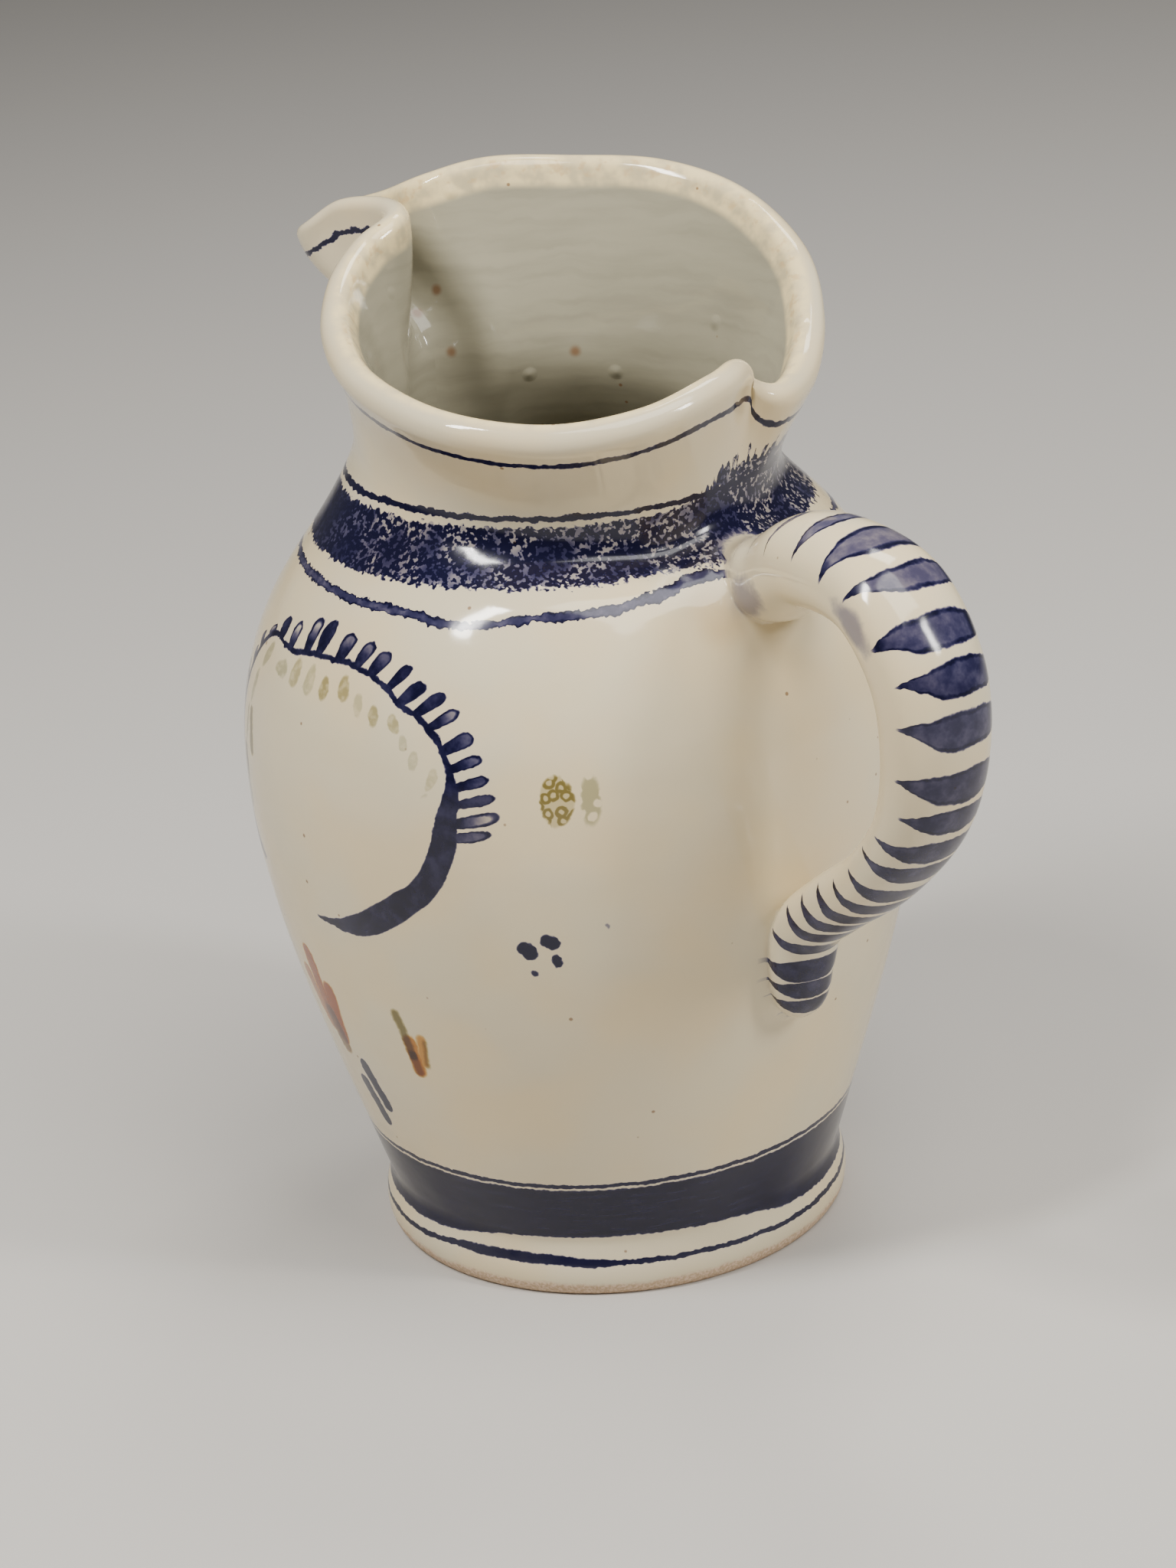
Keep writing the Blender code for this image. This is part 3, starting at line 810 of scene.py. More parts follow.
@dataclass(frozen=True)
class Wreath:
    """The painted frame: a thin arc that swells to two crescents, with strokes standing on it.

    Turns are in degrees about the frame's middle from the handle's side, radii in millimetres.
    """

    middle: tuple[float, float] = (-88.0, 85.0)
    inner: tuple = ((-135, 20.5), (-92, 20.3), (-79, 20.1), (-60, 19.7), (-41, 20.5), (-27, 22.5),
                    (-14, 23.9), (1, 25.1), (12, 27.3), (18, 28.2), (30, 27.1), (44, 24.4), (59, 22.9),
                    (71, 21.5), (96, 20.2), (120, 22.3), (152, 27.8), (180, 27.5), (225, 24.0))
    thickness: tuple = ((-135, 0.0), (-93, 0.0), (-77, 1.5), (-61, 3.2), (-41, 3.8), (-25, 3.5),
                        (-10, 3.3), (1, 2.8), (11, 1.7), (19, 0.5), (160, 0.45), (178, 1.8),
                        (198, 3.2), (214, 2.2), (225, 0.0))
    teeth: tuple = (-12.0, -5.7, 0.1, 5.9, 11.5, 17.0, 22.8, 29.5, 35.0, 43.0, 50.1, 57.5, 68.2, 79.4,
                    91.7, 102.8, 114.8, 125.8, 134.8, 144.5, 153.0, 161.5, 169.5, 178.0, 186.0)
    tips: tuple = ((-12, 30.0), (-5, 31.9), (1, 34.0), (7, 34.2), (13, 34.6), (20, 33.5), (30, 32.6),
                   (36, 31.3), (44, 29.4), (52, 28.0), (66, 26.0), (80, 25.0), (100, 24.8), (118, 25.8),
                   (132, 27.7), (153, 30.5), (168, 33.2), (186, 31.5))
    dabs: tuple = (8.0, 15.2, 23.0, 30.0, 38.0, 46.0, 55.5, 67.6, 81.0, 94.0, 108.0, 122.0, 136.0,
                   152.0, 168.7, 185.0, 198.0, 212.0)
    arc_start: float = -90.0
    arc_end: float = 219.0
    tooth_half: float = 0.28
    tooth_from: float = 184.0
    tooth_to: float = -9.0
    tooth_stray: float = 0.26
    tip_spread: float = 1.2
    dab_inset: float = 2.7
    dab_spread: float = 2.2
    dab_size: float = 0.8
    dab_spacing: float = 0.17
    dabs_from: float = 11.0
    dabs_to: float = 205.0


@dataclass(frozen=True)
class StrapStripes:
    """Brush strokes across the strap: for each, its place along it, width and lean in mm."""

    strokes: tuple = ((11.0, 0.6, -1.0), (18.5, 1.0, -1.7), (24.6, 2.6, -0.8), (32.0, 4.8, -1.4),
                      (38.2, 3.0, -2.2), (44.3, 3.8, -1.0), (49.4, 3.3, -1.0), (54.9, 4.1, -1.4),
                      (62.1, 4.0, -1.1), (66.9, 3.3, -0.6), (71.6, 3.4, 0.2), (75.9, 3.4, 0.6),
                      (81.6, 3.2, 1.0), (85.8, 3.0, 1.8), (90.2, 3.1, 2.4), (94.6, 3.2, 2.8),
                      (99.3, 3.6, 3.2), (105.6, 4.6, 2.6), (112.9, 4.2, 0.8), (117.0, 3.2, 0.2),
                      (120.4, 2.6, -0.2), (124.5, 0.9, 0.0))
    left_ends: tuple = ((0.0, -1.05), (2.0, -1.22), (4.0, -1.38), (5.0, -1.44), (6.0, -1.25), (9.0, -1.3),
                        (10.5, -1.8), (15.0, -2.1), (17.0, -2.0), (18.0, -1.95), (21.0, -1.8))
    right_end: float = 1.05
    outline: tuple = ((0.0, 0.03), (0.12, 0.24), (0.28, 0.62), (0.45, 0.95), (0.62, 1.0), (0.85, 0.8),
                      (1.0, 0.25))
    width_share: float = 0.58
    cores: tuple = ((0.0, 0.5), (3.0, 0.42), (5.0, 0.62), (9.0, 0.75), (21.0, 0.9))
    washes: tuple = (((7.0, -12.0), (7.0, 4.5)), ((39.0, -10.2), (5.5, 2.2)))
    wash_radius: float = 7.0
    wash_strength: float = 0.2


@dataclass(frozen=True)
class Rings:
    """Bands turned on the wheel: heights in mm by the angle in degrees from the handle."""

    foot_line: tuple = ((-180, 5.4), (-107, 4.9), (-83, 5.5), (-60, 6.2), (-44, 5.8), (-23, 5.6),
                        (-2, 5.3), (18, 5.0), (60, 5.3), (180, 5.4))
    foot_line_width: tuple = ((-180, 0.7), (-110, 0.8), (-80, 1.0), (-64, 1.8), (-42, 1.6),
                              (-32, 0.9), (30, 0.8), (100, 1.3), (180, 0.7))
    foot_band_low: tuple = ((-180, 8.4), (-110, 7.4), (-97, 7.4), (-71, 8.9), (-39, 10.3),
                            (-12, 9.7), (0, 9.0), (30, 7.2), (100, 8.8), (180, 8.4))
    foot_band_high: float = 19.6
    foot_band_edge: float = 20.6
    foot_edge_fineness: float = 2.2
    shoulder: tuple = ((-180, 113.0), (-107, 113.5), (-94, 113.2), (-80, 112.9), (-68, 112.8),
                       (-61, 112.0), (-50, 112.4), (-40, 113.0), (-30, 113.1), (-21, 113.7),
                       (-12, 114.4), (-3, 115.3), (20, 115.0), (50, 113.4), (120, 113.0),
                       (180, 113.0))
    shoulder_half: tuple[float, float] = (0.4, 0.78)
    sponge_low: float = 116.3
    sponge_high: tuple = ((-180, 123.6), (-15, 123.6), (4, 125.5), (22, 128.0), (45, 126.0),
                          (80, 123.6), (180, 123.6))
    sponge_fray: float = 2.4
    spikes_from: tuple[float, float] = (-8.0, 12.0)
    spike_height: float = 12.0
    speck_size: float = 0.8
    speck_patch_size: float = 6.0
    solid_from: tuple[float, float] = (-112.0, -85.0)
    neck_line: float = 125.0
    neck_line_half: float = 0.52
    neck_line_waver: float = 1.4
    rim_line_below: float = 6.6
    rim_line_half: tuple[float, float] = (0.5, 0.85)
    spout_angle: float = 166.0
    spout_dash: tuple[float, float] = (5.5, 6.1)


@dataclass(frozen=True)
class Sprig:
    """The sprig beside the frame: olive ringlets and a pale spray, in degrees and mm."""

    middle: tuple[float, float] = (-39.8, 88.9)
    half: tuple[float, float] = (2.6, 4.0)
    ringlet_size: float = 1.7
    ringlet_radius: float = 0.38
    spray_middle: tuple[float, float] = (-34.4, 88.8)
    spray_half: tuple[float, float] = (1.7, 4.2)
    leaf_size: float = 1.9


@dataclass(frozen=True)
class Hand:
    """How unsteady the brush is: sizes in mm, and the mm to a degree round the belly."""

    drift_size: float = 5.0
    drift: float = 1.5
    fray_size: float = 0.9
    fray: float = 0.55
    pool_size: float = 2.6
    arc: float = 0.88


@dataclass(frozen=True)
class GlazeFinish:
    """Tin glaze: its colours, its gloss and its flaws, with places in mm."""

    cream: tuple[float, float, float] = (0.75, 0.62, 0.385)
    cool: tuple[float, float, float] = (0.71, 0.62, 0.43)
    # inside: a greyer glaze, darkened as painted shade of the dim inside of the jug
    inside: tuple[float, float, float] = (0.35, 0.325, 0.235)
    throwing_shade: float = 0.86
    rim: tuple[float, float, float] = (0.86, 0.70, 0.38)
    rim_stain: tuple[float, float, float] = (0.62, 0.42, 0.20)
    root_tint: tuple[float, float, float] = (0.62, 0.44, 0.22)
    root_tint_middle: tuple[float, float] = (-7.0, 110.0)
    clay: tuple[float, float, float] = (0.52, 0.37, 0.23)
    clay_pale: tuple[float, float, float] = (0.72, 0.55, 0.40)
    roughness: float = 0.065
    smear: float = 0.04
    clay_roughness: float = 0.72
    bare_height: float = 2.6
    bare_edge: float = 0.8
    refraction: float = 1.46
    fleck_colour: tuple[float, float, float] = (0.22, 0.11, 0.05)
    flecks: tuple = ((-36.2, 0.0, 140.4), (-31.8, 2.9, 134.6), (-34.8, 3.3, 143.9),
                     (-20.5, 18.8, 133.1))
    fleck_radius: float = 1.3
    speckle_spacing: float = 7.0
    bump_strength: float = 0.35
    bump_distance: float = 0.25 * MM


@dataclass(frozen=True)
class Surface:
    """What the painting reads at a place: millimetres, degrees and shares as wires.

    Flat is the place unrolled round the belly, and both flat and height waver with the brush.
    """

    place: Wire
    angle: Wire
    level: Wire
    height: Wire
    flat: Wire
    below: Wire
    on_strap: Wire
    drift: Wire
    fray: Wire
    pool: Wire


@dataclass(frozen=True)
class Painter:
    """Builds the jug's one material: glaze, painting and bare foot."""

    wreath: Wreath = field(default_factory=Wreath)
    stripes: StrapStripes = field(default_factory=StrapStripes)
    rings: Rings = field(default_factory=Rings)
    sprig: Sprig = field(default_factory=Sprig)
    hand: Hand = field(default_factory=Hand)
    finish: GlazeFinish = field(default_factory=GlazeFinish)

    def material(self) -> bpy.types.Material:
        """Make the material."""
        g = Graph("painted_tin_glaze")
        at = self.read_surface(g)
        on_body = g.rise(at.below, -0.2, 0.6) * (1.0 - at.on_strap)
        cobalt = self.ring_paint(g, at) | self.wreath_paint(g, at) | self.rim_paint(g, at)
        cobalt = (cobalt | self.touch_paint(g, at, Pigment.COBALT)) * on_body
        cobalt = cobalt | (self.stripe_paint(g, at) | self.stain(g, at)) * at.on_strap
        green, leaf = self.leaf_paint(g, at)
        layers = [(Pigment.OLIVE, green * on_body), (Pigment.SAGE, leaf * on_body)]
        for pigment in (Pigment.OCHRE, Pigment.BROWN, Pigment.OLIVE, Pigment.SAGE):
            layers.append((pigment, self.touch_paint(g, at, pigment) * on_body))
        base = self.glaze_colour(g, at)
        for pigment, amount in (*layers, (Pigment.COBALT, cobalt)):
            base = g.times(base, self.lets_through(g, pigment, amount))
        f = self.finish
        edge = at.level + at.fray * 1.4 + at.drift
        bare = g.rise(edge, f.bare_height, f.bare_height - f.bare_edge)
        grog = g.noise(at.place, 0.5, 1.0, 0.7)
        clay = g.mix(g.rise(grog, 0.35, 0.7), f.clay, f.clay_pale)
        self.shade(g, at, g.mix(bare, base, clay), bare, cobalt)
        return g.material

    def read_surface(self, g: Graph) -> Surface:
        """Read the place, and the values stored on the mesh."""
        h = self.hand
        place = g.scaled(g.node("ShaderNodeTexCoord", {}, "Object"), PER_METRE)
        x, y, z = g.split(place)
        angle = g.maths("ARCTAN2", y, x) * math.degrees(1.0)
        drift = (g.noise(place, h.drift_size) - 0.5) * h.drift
        fray = (g.noise(place, h.fray_size, 1.0) - 0.5) * h.fray
        across = abs(angle) * -h.arc + drift * 0.7 + fray
        return Surface(
            place=place,
            angle=angle,
            level=z,
            height=z + drift * 0.45 + fray,
            flat=g.combine(across, z + drift * 0.5 + fray),
            below=g.attribute("below_rim") * PER_METRE,
            on_strap=g.attribute("on_strap"),
            drift=drift,
            fray=fray,
            pool=g.noise(place, h.pool_size, 3.0, 0.6),
        )

    def lets_through(self, g: Graph, pigment: Pigment, amount: Wire) -> Wire:
        """Light that a layer of pigment of this amount lets through."""
        channels = {i: g.maths("POWER", level, amount) for i, level in enumerate(pigment.value)}
        return g.node("ShaderNodeCombineColor", channels)

    def pooled(self, g: Graph, reach: Wire, pool: Wire, core: float) -> Wire:
        """Paint within reach 1 of a stroke's middle, darker where it pooled at the edge."""
        inside = g.rise(reach, 1.0, 0.86)
        edge = g.rise(reach, 0.35, 0.85, core, 1.0)
        return inside * edge * g.rise(pool, 0.25, 0.65, 0.62, 1.12)

    def ring_paint(self, g: Graph, at: Surface) -> Wire:
        """The bands on foot, shoulder and neck."""
        r = self.rings
        width = g.curve(at.angle, r.foot_line_width)
        foot_line = abs(at.height - g.curve(at.angle, r.foot_line)) / (width * 0.5)
        streak = g.noise(g.combine(at.angle * 0.12, at.level * 1.6), 1.0)
        low = g.curve(at.angle, r.foot_band_low)
        band = g.between(at.height, low, r.foot_band_high, 0.3)
        band = band * g.rise(streak, 0.2, 0.7, 0.82, 1.1)
        edge = abs(at.height - r.foot_band_edge) * r.foot_edge_fineness
        foot = g.rise(foot_line, 1.0, 0.7) * 0.95 | band | g.rise(edge, 1.0, 0.6) * 0.9
        off = abs(at.height + at.fray * 0.6 - g.curve(at.angle, r.shoulder))
        shoulder = self.pooled(g, off / g.rise(at.pool, 0.3, 0.7, *r.shoulder_half), at.pool, 0.62)
        neck = abs(at.height + (at.pool - 0.5) * r.neck_line_waver - r.neck_line)
        neck = g.rise(neck / r.neck_line_half, 1.0, 0.7)
        return foot | shoulder | self.sponge_paint(g, at) | neck

    def sponge_paint(self, g: Graph, at: Surface) -> Wire:
        """The sponged band below the neck, speckled and with a spiky edge by the handle."""
        r = self.rings
        spikes = g.noise(g.combine(at.angle * 0.8, at.level * 0.3), 1.0) - 0.45
        spikes = spikes * g.rise(at.angle, *r.spikes_from) * r.spike_height
        top = g.curve(at.angle, r.sponge_high) + spikes
        band = g.between(at.height + at.fray * r.sponge_fray, r.sponge_low, top, 0.25)
        speck = g.rise(g.noise(at.place, r.speck_size, 1.5, 0.6), 0.50, 0.59)
        patch = g.rise(g.noise(at.place, r.speck_patch_size, 1.0), 0.34, 0.56, 0.35, 0.85)
        return band * (1.0 - speck * patch * g.rise(at.angle, *r.solid_from, 0.4, 1.0))

    def rim_paint(self, g: Graph, at: Surface) -> Wire:
        """The thin line that follows the rim on its outer side, and the dash on the spout."""
        r = self.rings
        below = at.below + at.drift * 0.5 + at.fray
        line = abs(below - r.rim_line_below) / g.rise(at.pool, 0.3, 0.7, *r.rim_line_half)
        line = g.rise(line, 1.0, 0.6) * g.rise(at.pool, 0.25, 0.5, 0.6, 1.0)
        turn = abs(at.angle)
        dash = g.between(below + (at.pool - 0.5) * 2.0, *r.spout_dash, 0.25)
        dash = dash * g.rise(turn, r.spout_angle, r.spout_angle + 2.0)
        return line * g.rise(turn, r.spout_angle, r.spout_angle - 6.0) | dash

    def wreath_paint(self, g: Graph, at: Surface) -> Wire:
        """The arc, its crescents and the strokes that stand on it."""
        w = self.wreath
        radius, turn = self.polar(g, at.flat)
        inner = g.curve(turn, w.inner)
        arc = g.between(radius - inner, -0.3, g.curve(turn, w.thickness), 0.25)
        arc = arc * g.rise(turn, w.arc_start - 3.0, w.arc_start)
        arc = arc * g.rise(turn, w.arc_end + 4.0, w.arc_end) * g.rise(at.pool, 0.25, 0.7, 0.72, 1.1)
        lean = g.maths("MULTIPLY_ADD", turn, -0.06, 1.8)
        base = turn - lean * ((radius - inner) / 5.0)
        phase = g.curve(base, tuple((t, float(i)) for i, t in enumerate(w.teeth)))
        index = g.maths("ROUND", phase)
        reach = g.curve(turn, w.tips) + (g.random(index, 3.7) - 0.5) * w.tip_spread
        outward = g.maths("DIVIDE", radius - inner + 0.4, reach - inner + 0.4)
        half = g.rise(outward, 0.0, 0.7, 0.7, 1.0) * (g.random(index, 8.8) * 0.1 + w.tooth_half)
        across = abs(phase - index + (g.random(index, 4.4) - 0.5) * w.tooth_stray) / half
        end = g.maths("MAXIMUM", (outward - 0.72) / 0.28, 0.0)
        tooth = g.maths("SQRT", across * across + end * end)
        core = g.rise(outward, 0.3, 0.8, 1.0, g.random(index, 6.1))
        rimmed = g.maths("MAXIMUM", core, g.rise(tooth, 0.3, 0.8))
        tooth = g.rise(tooth, 1.0, 0.84) * rimmed * g.between(base, w.tooth_to, w.tooth_from, 1.0)
        tooth = tooth * g.rise(radius - inner, -0.3, 0.1) * g.rise(at.pool, 0.3, 0.7, 0.7, 1.12)
        return arc | tooth

    def polar(self, g: Graph, flat: Wire) -> tuple[Wire, Wire]:
        """Distance from the frame's middle and turn about it."""
        w = self.wreath
        off = g.vector("SUBTRACT", flat, (w.middle[0] * self.hand.arc, w.middle[1], 0.0))
        right, up, _ = g.split(off)
        turn = g.maths("ARCTAN2", up, right) * math.degrees(1.0)
        turn = g.maths("WRAP", turn, w.inner[-1][0], w.inner[0][0])
        return g.vector("LENGTH", off, output=1), turn

    def leaf_paint(self, g: Graph, at: Surface) -> tuple[Wire, Wire]:
        """Dabs inside the frame, and the sprig beside it: olive and pale green."""
        dab, tone = self.dabs(g, at)
        p = self.sprig
        ringlet = abs(g.cells(at.flat, p.ringlet_size, "2D") - p.ringlet_radius)
        sprig = g.rise(self.ellipse(g, at.flat, p.middle, p.half), 1.0, 0.85)
        sprig = sprig * g.rise(ringlet, 0.2, 0.08, 0.25, 1.0)
        spray = g.rise(self.ellipse(g, at.flat, p.spray_middle, p.spray_half), 1.0, 0.7)
        spray = spray * g.rise(g.cells(at.flat, p.leaf_size, "2D"), 0.25, 0.42)
        olive = dab * g.rise(tone, 0.45, 0.95, 0.0, 0.6) | sprig * 0.8
        return olive, dab * g.rise(tone, 0.9, 0.2, 0.2, 0.6) | spray * 0.6

    def dabs(self, g: Graph, at: Surface) -> tuple[Wire, Wire]:
        """Upright dabs that follow the arc on its inner side, and a random tone for each."""
        w = self.wreath
        radius, turn = self.polar(g, at.flat)
        phase = g.curve(turn, tuple((t, float(i)) for i, t in enumerate(w.dabs)))
        index = g.maths("ROUND", phase)
        middle = g.curve(turn, w.inner) - w.dab_inset - g.random(index, 1.3) * w.dab_spread
        size = g.maths("MULTIPLY_ADD", g.random(index, 5.1), 0.35, w.dab_size)
        beside = (phase - index) * radius * w.dab_spacing
        beyond = radius - middle
        sine = g.maths("SINE", turn * RADIAN)
        cosine = g.maths("COSINE", turn * RADIAN)
        across = (beyond * cosine - beside * sine) / (size * 0.9)
        along = (beyond * sine + beside * cosine) / (size * 2.2)
        dab = g.maths("SQRT", across * across + along * along)
        dab = g.rise(dab, 1.0, 0.7) * g.between(turn, w.dabs_from, w.dabs_to, 2.0)
        dab = dab * g.rise(turn, w.dabs_from, w.dabs_to, 0.55, 1.0)
        return dab * g.rise(g.noise(at.place, 1.3), 0.3, 0.6, 0.45, 1.0), g.random(index, 9.4)

    def ellipse(self, g: Graph, flat: Wire, middle: tuple[float, float],
                half: tuple[float, float]) -> Wire:
        """Distance from a middle in degrees and mm, as a share of an ellipse's half sizes in mm."""
        off = g.vector("SUBTRACT", flat, (middle[0] * self.hand.arc, middle[1], 0.0))
        return g.vector("LENGTH", g.vector("DIVIDE", off, (*half, 1.0)), output=1)

    def touch_paint(self, g: Graph, at: Surface, pigment: Pigment) -> Wire:
        """All single touches of the brush in this pigment."""
        paint = None
        for t in TOUCHES:
            if t.pigment is not pigment:
                continue
            start = Vector((t.start[0] * self.hand.arc, t.start[1], 0.0))
            line = Vector((t.end[0] * self.hand.arc, t.end[1], 0.0)) - start
            off = g.vector("SUBTRACT", at.flat, tuple(start))
            toward = tuple(line / line.length_squared)
            share = g.vector("DOT_PRODUCT", off, toward, output=1)
            share = g.maths("MAXIMUM", share, 0.0, clamp=True)
            gap = g.vector("SUBTRACT", off, g.scaled(tuple(line), share))
            gap = g.vector("LENGTH", gap, output=1)
            mark = g.rise(gap, t.width / 2, t.width / 2 - t.softness) * t.strength
            paint = mark if paint is None else paint | mark
        return paint

    def stripe_paint(self, g: Graph, at: Surface) -> Wire:
        """The strokes across the strap."""
        s = self.stripes
        along, turn = self.strap_place(g)
        lean = g.curve(along, tuple((a, lean) for a, _, lean in s.strokes))
        run = along - lean * g.rise(turn, -0.1, -1.3) + at.drift * 0.7 + at.fray * 0.7
        phase = g.curve(run, tuple((a, float(i)) for i, (a, _, _) in enumerate(s.strokes)))
        index = g.maths("ROUND", phase)
        middle = g.curve(index, tuple((float(i), a) for i, (a, _, _) in enumerate(s.strokes)))
        width = g.curve(index, tuple((float(i), w) for i, (_, w, _) in enumerate(s.strokes)))
        left = g.curve(index, s.left_ends) - (g.random(index, 2.2) - 0.5) * 0.25
        right = s.right_end + (g.random(index, 7.7) - 0.5) * 0.4
        across = (turn - left) / (right - left)
        body = g.curve(g.maths("MAXIMUM", across, 0.0, clamp=True), s.outline)
        reach = abs(run - middle) / (width * s.width_share * body)
        reach = g.maths("MAXIMUM", reach, abs(across - 0.5) * 2.0)
        edge = g.maths("MAXIMUM", g.rise(reach, 0.38, 0.82), g.curve(index, s.cores))
        return g.rise(reach, 1.0, 0.84) * edge * g.rise(at.pool, 0.25, 0.7, 0.7, 1.15)

    def strap_place(self, g: Graph) -> tuple[Wire, Wire]:
        """Place along the strap in mm, and turn about it from its outer side in radians."""
        along = g.attribute("strap_along") * PER_METRE
        return along, g.maths("ARCTAN2", g.attribute("strap_side"), g.attribute("strap_facing"))

    def stain(self, g: Graph, at: Surface) -> Wire:
        """Thin grey washes on the strap's side, at the root and inside the crest."""
        s = self.stripes
        along, turn = self.strap_place(g)
        place = g.combine(along, turn * s.wash_radius)
        wash = None
        for middle, half in s.washes:
            off = g.vector("DIVIDE", g.vector("SUBTRACT", place, (*middle, 0.0)), (*half, 1.0))
            spot = g.rise(g.vector("LENGTH", off, output=1) + (at.pool - 0.5) * 0.8, 1.0, 0.4)
            wash = spot if wash is None else wash | spot
        return wash * s.wash_strength

    def glaze_colour(self, g: Graph, at: Surface) -> Wire:
        """The unpainted glaze: cream outside, darker inside, where a greyer glaze is darkened further as
        painted shade of the dim inside of the jug, and warm and thin on the rim.
        """
        f = self.finish
        base = g.mix(g.rise(g.noise(at.place, 22.0), 0.35, 0.65), f.cream, f.cool)
        thrown = g.noise(g.combine(at.angle * 0.03, at.level * 0.5 + at.drift), 1.0, 3.0)
        # the darker inside colours and their streaks stand partly for painted shade inside the jug
        shaded = tuple(f.throwing_shade * level for level in f.inside)
        inner = g.mix(g.rise(thrown, 0.36, 0.8), f.inside, shaded)
        base = g.mix(g.rise(at.below, 2.5, -6.0), base, inner)
        for spot in f.flecks:
            gap = g.vector("LENGTH", g.vector("SUBTRACT", at.place, spot), output=1)
            fleck = g.rise(gap + at.drift * 0.8, f.fleck_radius, 0.4)
            base = g.mix(fleck * 0.8, base, f.fleck_colour)
        worn = g.between(at.below, -5.6, -1.4, 1.6)
        worn = worn * g.rise(g.noise(at.place, 3.0), 0.3, 0.62, 0.45, 1.0)
        base = g.mix(worn, base, f.rim)
        stain = g.between(at.below, -4.6, -2.4, 0.9)
        stain = stain * g.rise(g.noise(at.place, 2.2, 2.0, 0.7), 0.52, 0.68)
        base = g.mix(stain * 0.55, base, f.rim_stain)
        middle = (f.root_tint_middle[0] * 0.7, f.root_tint_middle[1], 0.0)
        tint = g.vector("SUBTRACT", g.combine(at.angle * 0.7, at.level), middle)
        tint = g.rise(g.vector("LENGTH", tint, output=1), 5.0, 1.0) * (1.0 - at.on_strap)
        base = g.mix(tint * 0.5, base, f.root_tint)
        speckle = g.rise(g.cells(at.place, f.speckle_spacing), 0.055, 0.03)
        return g.mix(speckle * 0.8, base, f.fleck_colour)

    def shade(self, g: Graph, at: Surface, colour: Wire, bare: Wire, cobalt: Wire) -> None:
        """Wire colour, gloss and relief to the shader."""
        f = self.finish
        shader = g.shader.inputs
        g.put(shader["Base Color"], colour)
        smear = g.rise(g.noise(at.place, 14.0, 1.0), 0.3, 0.7, 0.0, f.smear)
        gloss = g.maths("MULTIPLY_ADD", cobalt, 0.05, f.roughness) + smear
        matt = f.clay_roughness - f.roughness
        g.put(shader["Roughness"], g.maths("MULTIPLY_ADD", bare, matt, gloss))
        g.put(shader["IOR"], f.refraction)
        level = at.level + g.noise(at.place, 30.0, 0.0) * 2.0
        throwing = g.noise(g.combine(0.0, level), 3.2, 1.0) * g.rise(at.below, 0.0, -3.0, 0.35, 0.9)
        uneven = g.noise(at.place, 1.8, 1.0) * 0.16 + g.noise(at.place, 11.0, 1.0) * 2.6
        pimples = g.rise(g.cells(at.place, 11.0), 0.13, 0.0) * g.rise(at.below, 0.0, -2.0)
        relief = {"Strength": f.bump_strength, "Distance": f.bump_distance,
                  "Height": throwing + uneven + pimples * 3.0}
        g.put(shader["Normal"], g.node("ShaderNodeBump", relief))


@dataclass(frozen=True)
class PaintedJug:
    """The whole jug: body and handle fused, with the values that the painting reads."""

    name: str = "painted_jug"
    body: ThrownBody = field(default_factory=ThrownBody)
    handle: StrapHandle = field(default_factory=StrapHandle)
    joining: Joining = field(default_factory=Joining)
    painter: Painter = field(default_factory=Painter)

    def build(self) -> bpy.types.Object:
        """Model the jug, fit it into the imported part's box and paint it."""
        body, below = self.body.build()
        strap, along = self.handle.build(self.body)
        bare_body, bare_strap = BVHTree.FromBMesh(body), BVHTree.FromBMesh(strap)
        self.joining.swell(body, bare_strap, [depth > 0.0 for depth in below])
        self.joining.swell(strap, bare_body, [True] * len(strap.verts))
        body_skin = Skin(body, np.column_stack([below, below, below]))
        strap_skin = Skin(strap, along)
        fused = self.joining.fuse("fusing", body, strap)
        body.free()
        strap.free()
        self.joining.soften(fused, body_skin, strap_skin)
        bmesh.ops.recalc_face_normals(fused, faces=fused.faces)
        mesh = bpy.data.meshes.new(self.name)
        fused.to_mesh(mesh)
        fused.free()
        self.store(mesh, body_skin, strap_skin)
        self.fit(mesh)
        mesh.shade_smooth()
        mesh.materials.clear()
        mesh.materials.append(self.painter.material())
        obj = bpy.data.objects.new(self.name, mesh)
        bpy.context.collection.objects.link(obj)
        return obj

    def store(self, mesh: bpy.types.Mesh, body: Skin, strap: Skin) -> None:
        """Store on the mesh what the painting reads."""
        rows = []
        for vert in mesh.vertices:
            below, to_body = body.read(vert.co)
            place, to_strap = strap.read(vert.co)
            share = smooth(0.5 + (to_body - to_strap) / self.joining.blend)
            rows.append((below.x, share if below.x > 0.0 else 0.0, *place))
        names = ("below_rim", "on_strap", "strap_along", "strap_side", "strap_facing")
        for name, values in zip(names, np.array(rows).T):
            mesh.attributes.new(name, "FLOAT", "POINT").data.foreach_set("value", values)

    def fit(self, mesh: bpy.types.Mesh) -> None:
        """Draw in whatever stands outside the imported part's box by a hair."""
        places = np.empty(len(mesh.vertices) * 3)
        mesh.vertices.foreach_get("co", places)
        places = places.reshape(-1, 3)
        low, high = np.array(CAD_BOX[0]), np.array(CAD_BOX[1])
        for axis in range(3):
            column = places[:, axis]
            least, most = column.min(), column.max()
            to_low, to_high = max(least, low[axis]), min(most, high[axis])
            places[:, axis] = to_low + (column - least) * (to_high - to_low) / (most - least)
        mesh.vertices.foreach_set("co", places.ravel())
        mesh.update()


@dataclass(frozen=True)
class SoftBox:
    """A rectangular studio light that faces the jug."""

    name: str
    azimuth: float
    elevation: float
    distance: float
    width: float
    height: float
    watts: float
    colour: tuple[float, float, float] = (1.0, 0.98, 0.95)


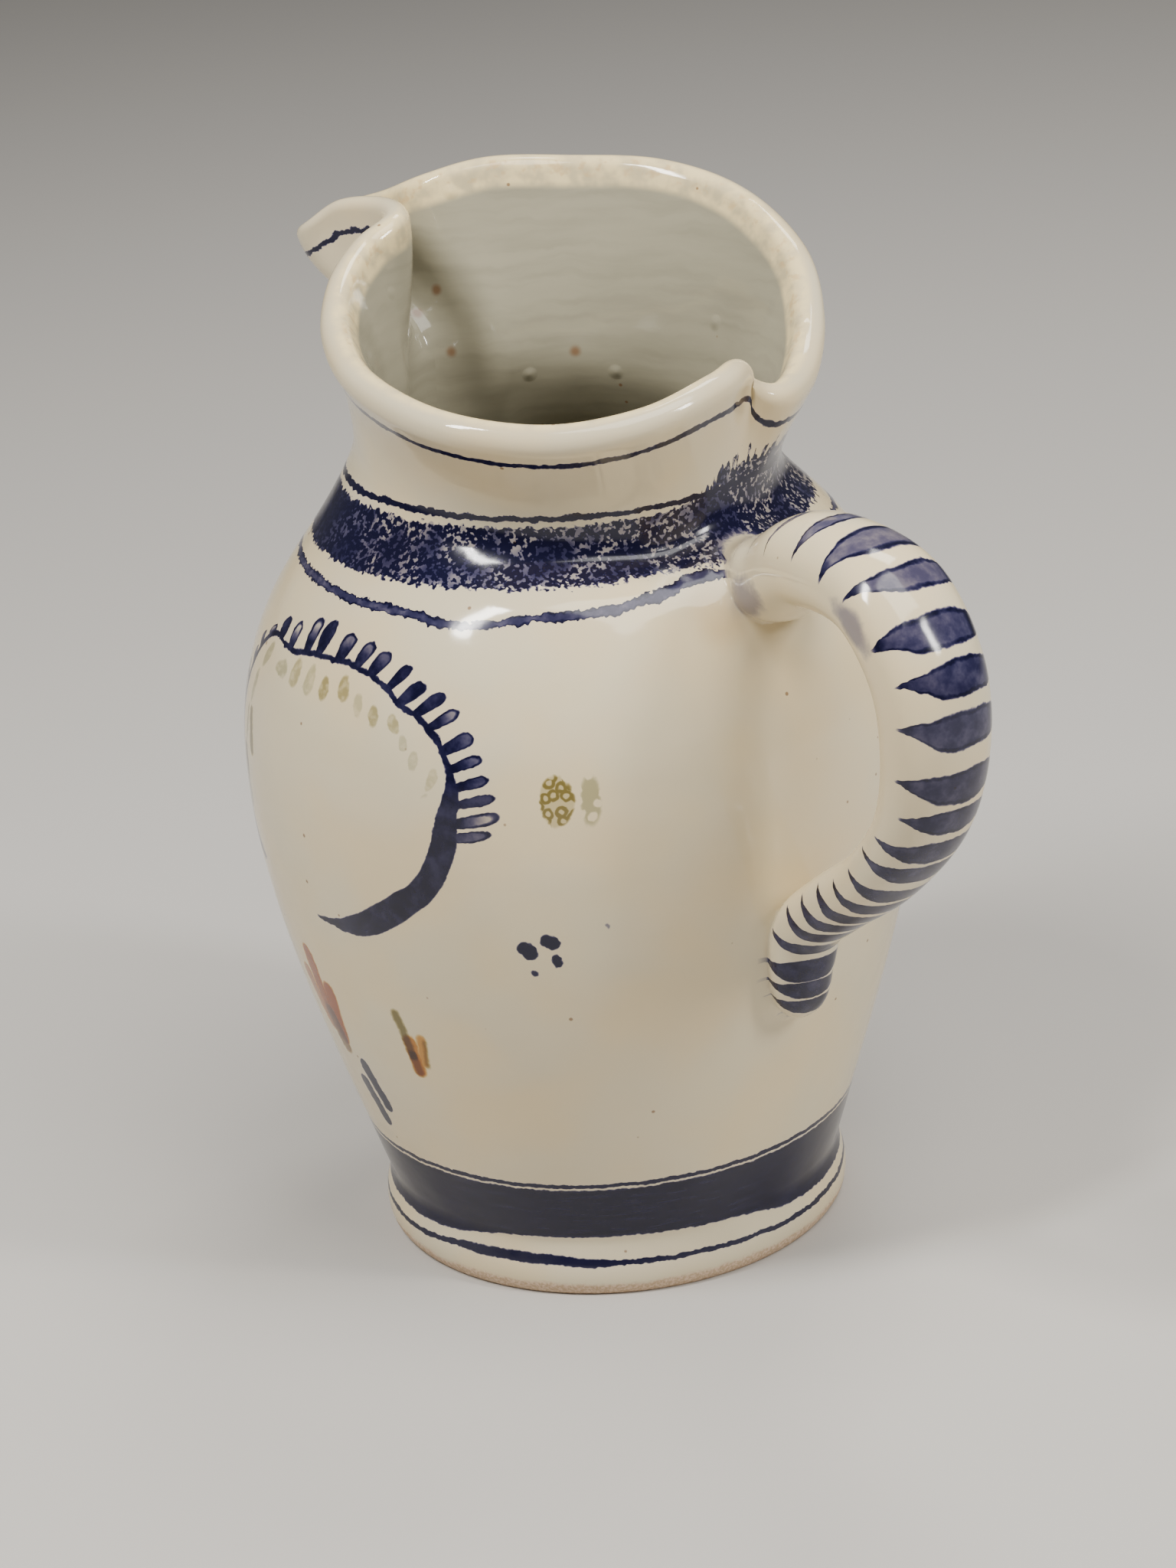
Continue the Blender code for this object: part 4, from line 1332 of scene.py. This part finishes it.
@dataclass(frozen=True)
class Studio:
    """Plain pale floor, soft lights and the photograph's viewpoint."""

    floor_size: float = 4.0
    floor_colour: tuple[float, float, float] = (0.52, 0.50, 0.47)
    world_colour: tuple[float, float, float] = (0.83, 0.82, 0.80)
    world_strength: float = 0.15
    target: tuple[float, float, float] = (0.01, 0.0, 0.08)
    boxes: tuple[SoftBox, ...] = (
        SoftBox("key", -90.0, 57.0, 0.9, 0.09, 0.36, 8.4),
        SoftBox("side", 25.0, 35.0, 1.0, 0.11, 0.26, 5.0),
        SoftBox("back", 118.0, 62.0, 1.1, 0.30, 0.24, 3.0),
        SoftBox("top", 10.0, 68.0, 1.0, 0.60, 0.60, 8.0),
    )
    camera_place: tuple[float, float, float] = (0.4578, -0.3205, 0.2931)
    heading: float = 55.0
    pitch: float = 0.37896
    yaw: float = 0.00061
    roll: float = -0.07666
    lens: float = 87.89
    sensor: float = 36.0
    clip_start: float = 0.01

    def floor(self) -> bpy.types.Object:
        """A plain matt floor at the height of the jug's underside."""
        bm = bmesh.new()
        bmesh.ops.create_grid(bm, x_segments=1, y_segments=1, size=self.floor_size)
        mesh = bpy.data.meshes.new("studio_floor")
        bm.to_mesh(mesh)
        bm.free()
        g = Graph("studio_floor")
        g.put(g.shader.inputs["Base Color"], self.floor_colour)
        g.put(g.shader.inputs["Roughness"], 0.7)
        mesh.materials.append(g.material)
        floor = bpy.data.objects.new("studio_floor", mesh)
        bpy.context.collection.objects.link(floor)
        return floor

    def light(self) -> None:
        """Set up the world and the soft boxes."""
        world = bpy.data.worlds.new("studio")
        world.use_nodes = True
        background = world.node_tree.nodes["Background"]
        background.inputs["Color"].default_value = (*self.world_colour, 1.0)
        background.inputs["Strength"].default_value = self.world_strength
        bpy.context.scene.world = world
        for box in self.boxes:
            lamp = bpy.data.lights.new(box.name, "AREA")
            lamp.shape = "RECTANGLE"
            lamp.size, lamp.size_y = box.width, box.height
            lamp.energy = box.watts
            lamp.color = box.colour
            light = bpy.data.objects.new(box.name, lamp)
            turn, lift = math.radians(box.azimuth), math.radians(box.elevation)
            way = Vector((math.cos(turn) * math.cos(lift), math.sin(turn) * math.cos(lift),
                          math.sin(lift)))
            light.location = Vector(self.target) + way * box.distance
            light.rotation_euler = way.to_track_quat("Z", "Y").to_euler()
            bpy.context.collection.objects.link(light)

    def camera(self) -> None:
        """Place the camera at the photograph's viewpoint."""
        data = bpy.data.cameras.new("camera")
        data.lens = self.lens
        data.sensor_width = self.sensor
        data.clip_start = self.clip_start
        ahead = Vector((math.sin(self.yaw) * math.cos(self.pitch),
                        math.cos(self.yaw) * math.cos(self.pitch), -math.sin(self.pitch)))
        right = ahead.cross(Vector((0.0, 0.0, 1.0))).normalized()
        up = right.cross(ahead)
        turned_right = right * math.cos(self.roll) + up * math.sin(self.roll)
        turned_up = up * math.cos(self.roll) - right * math.sin(self.roll)
        axes = Matrix((turned_right, turned_up, -ahead)).transposed().to_4x4()
        camera = bpy.data.objects.new("camera", data)
        turn = Matrix.Rotation(math.radians(self.heading), 4, "Z")
        camera.matrix_world = Matrix.Translation(self.camera_place) @ turn @ axes
        bpy.context.collection.objects.link(camera)
        bpy.context.scene.camera = camera


def main() -> None:
    logging.basicConfig(level=logging.INFO, format="%(message)s")
    studio = Studio()
    studio.camera()
    studio.light()
    floor = studio.floor()
    LOG.info("studio: floor, %d lights and the camera", len(studio.boxes))
    jug = PaintedJug().build()
    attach(jug, "root")
    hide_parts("jug")
    LOG.info("%s: %d faces", jug.name, len(jug.data.polygons))


if __name__ == "__main__":
    main()
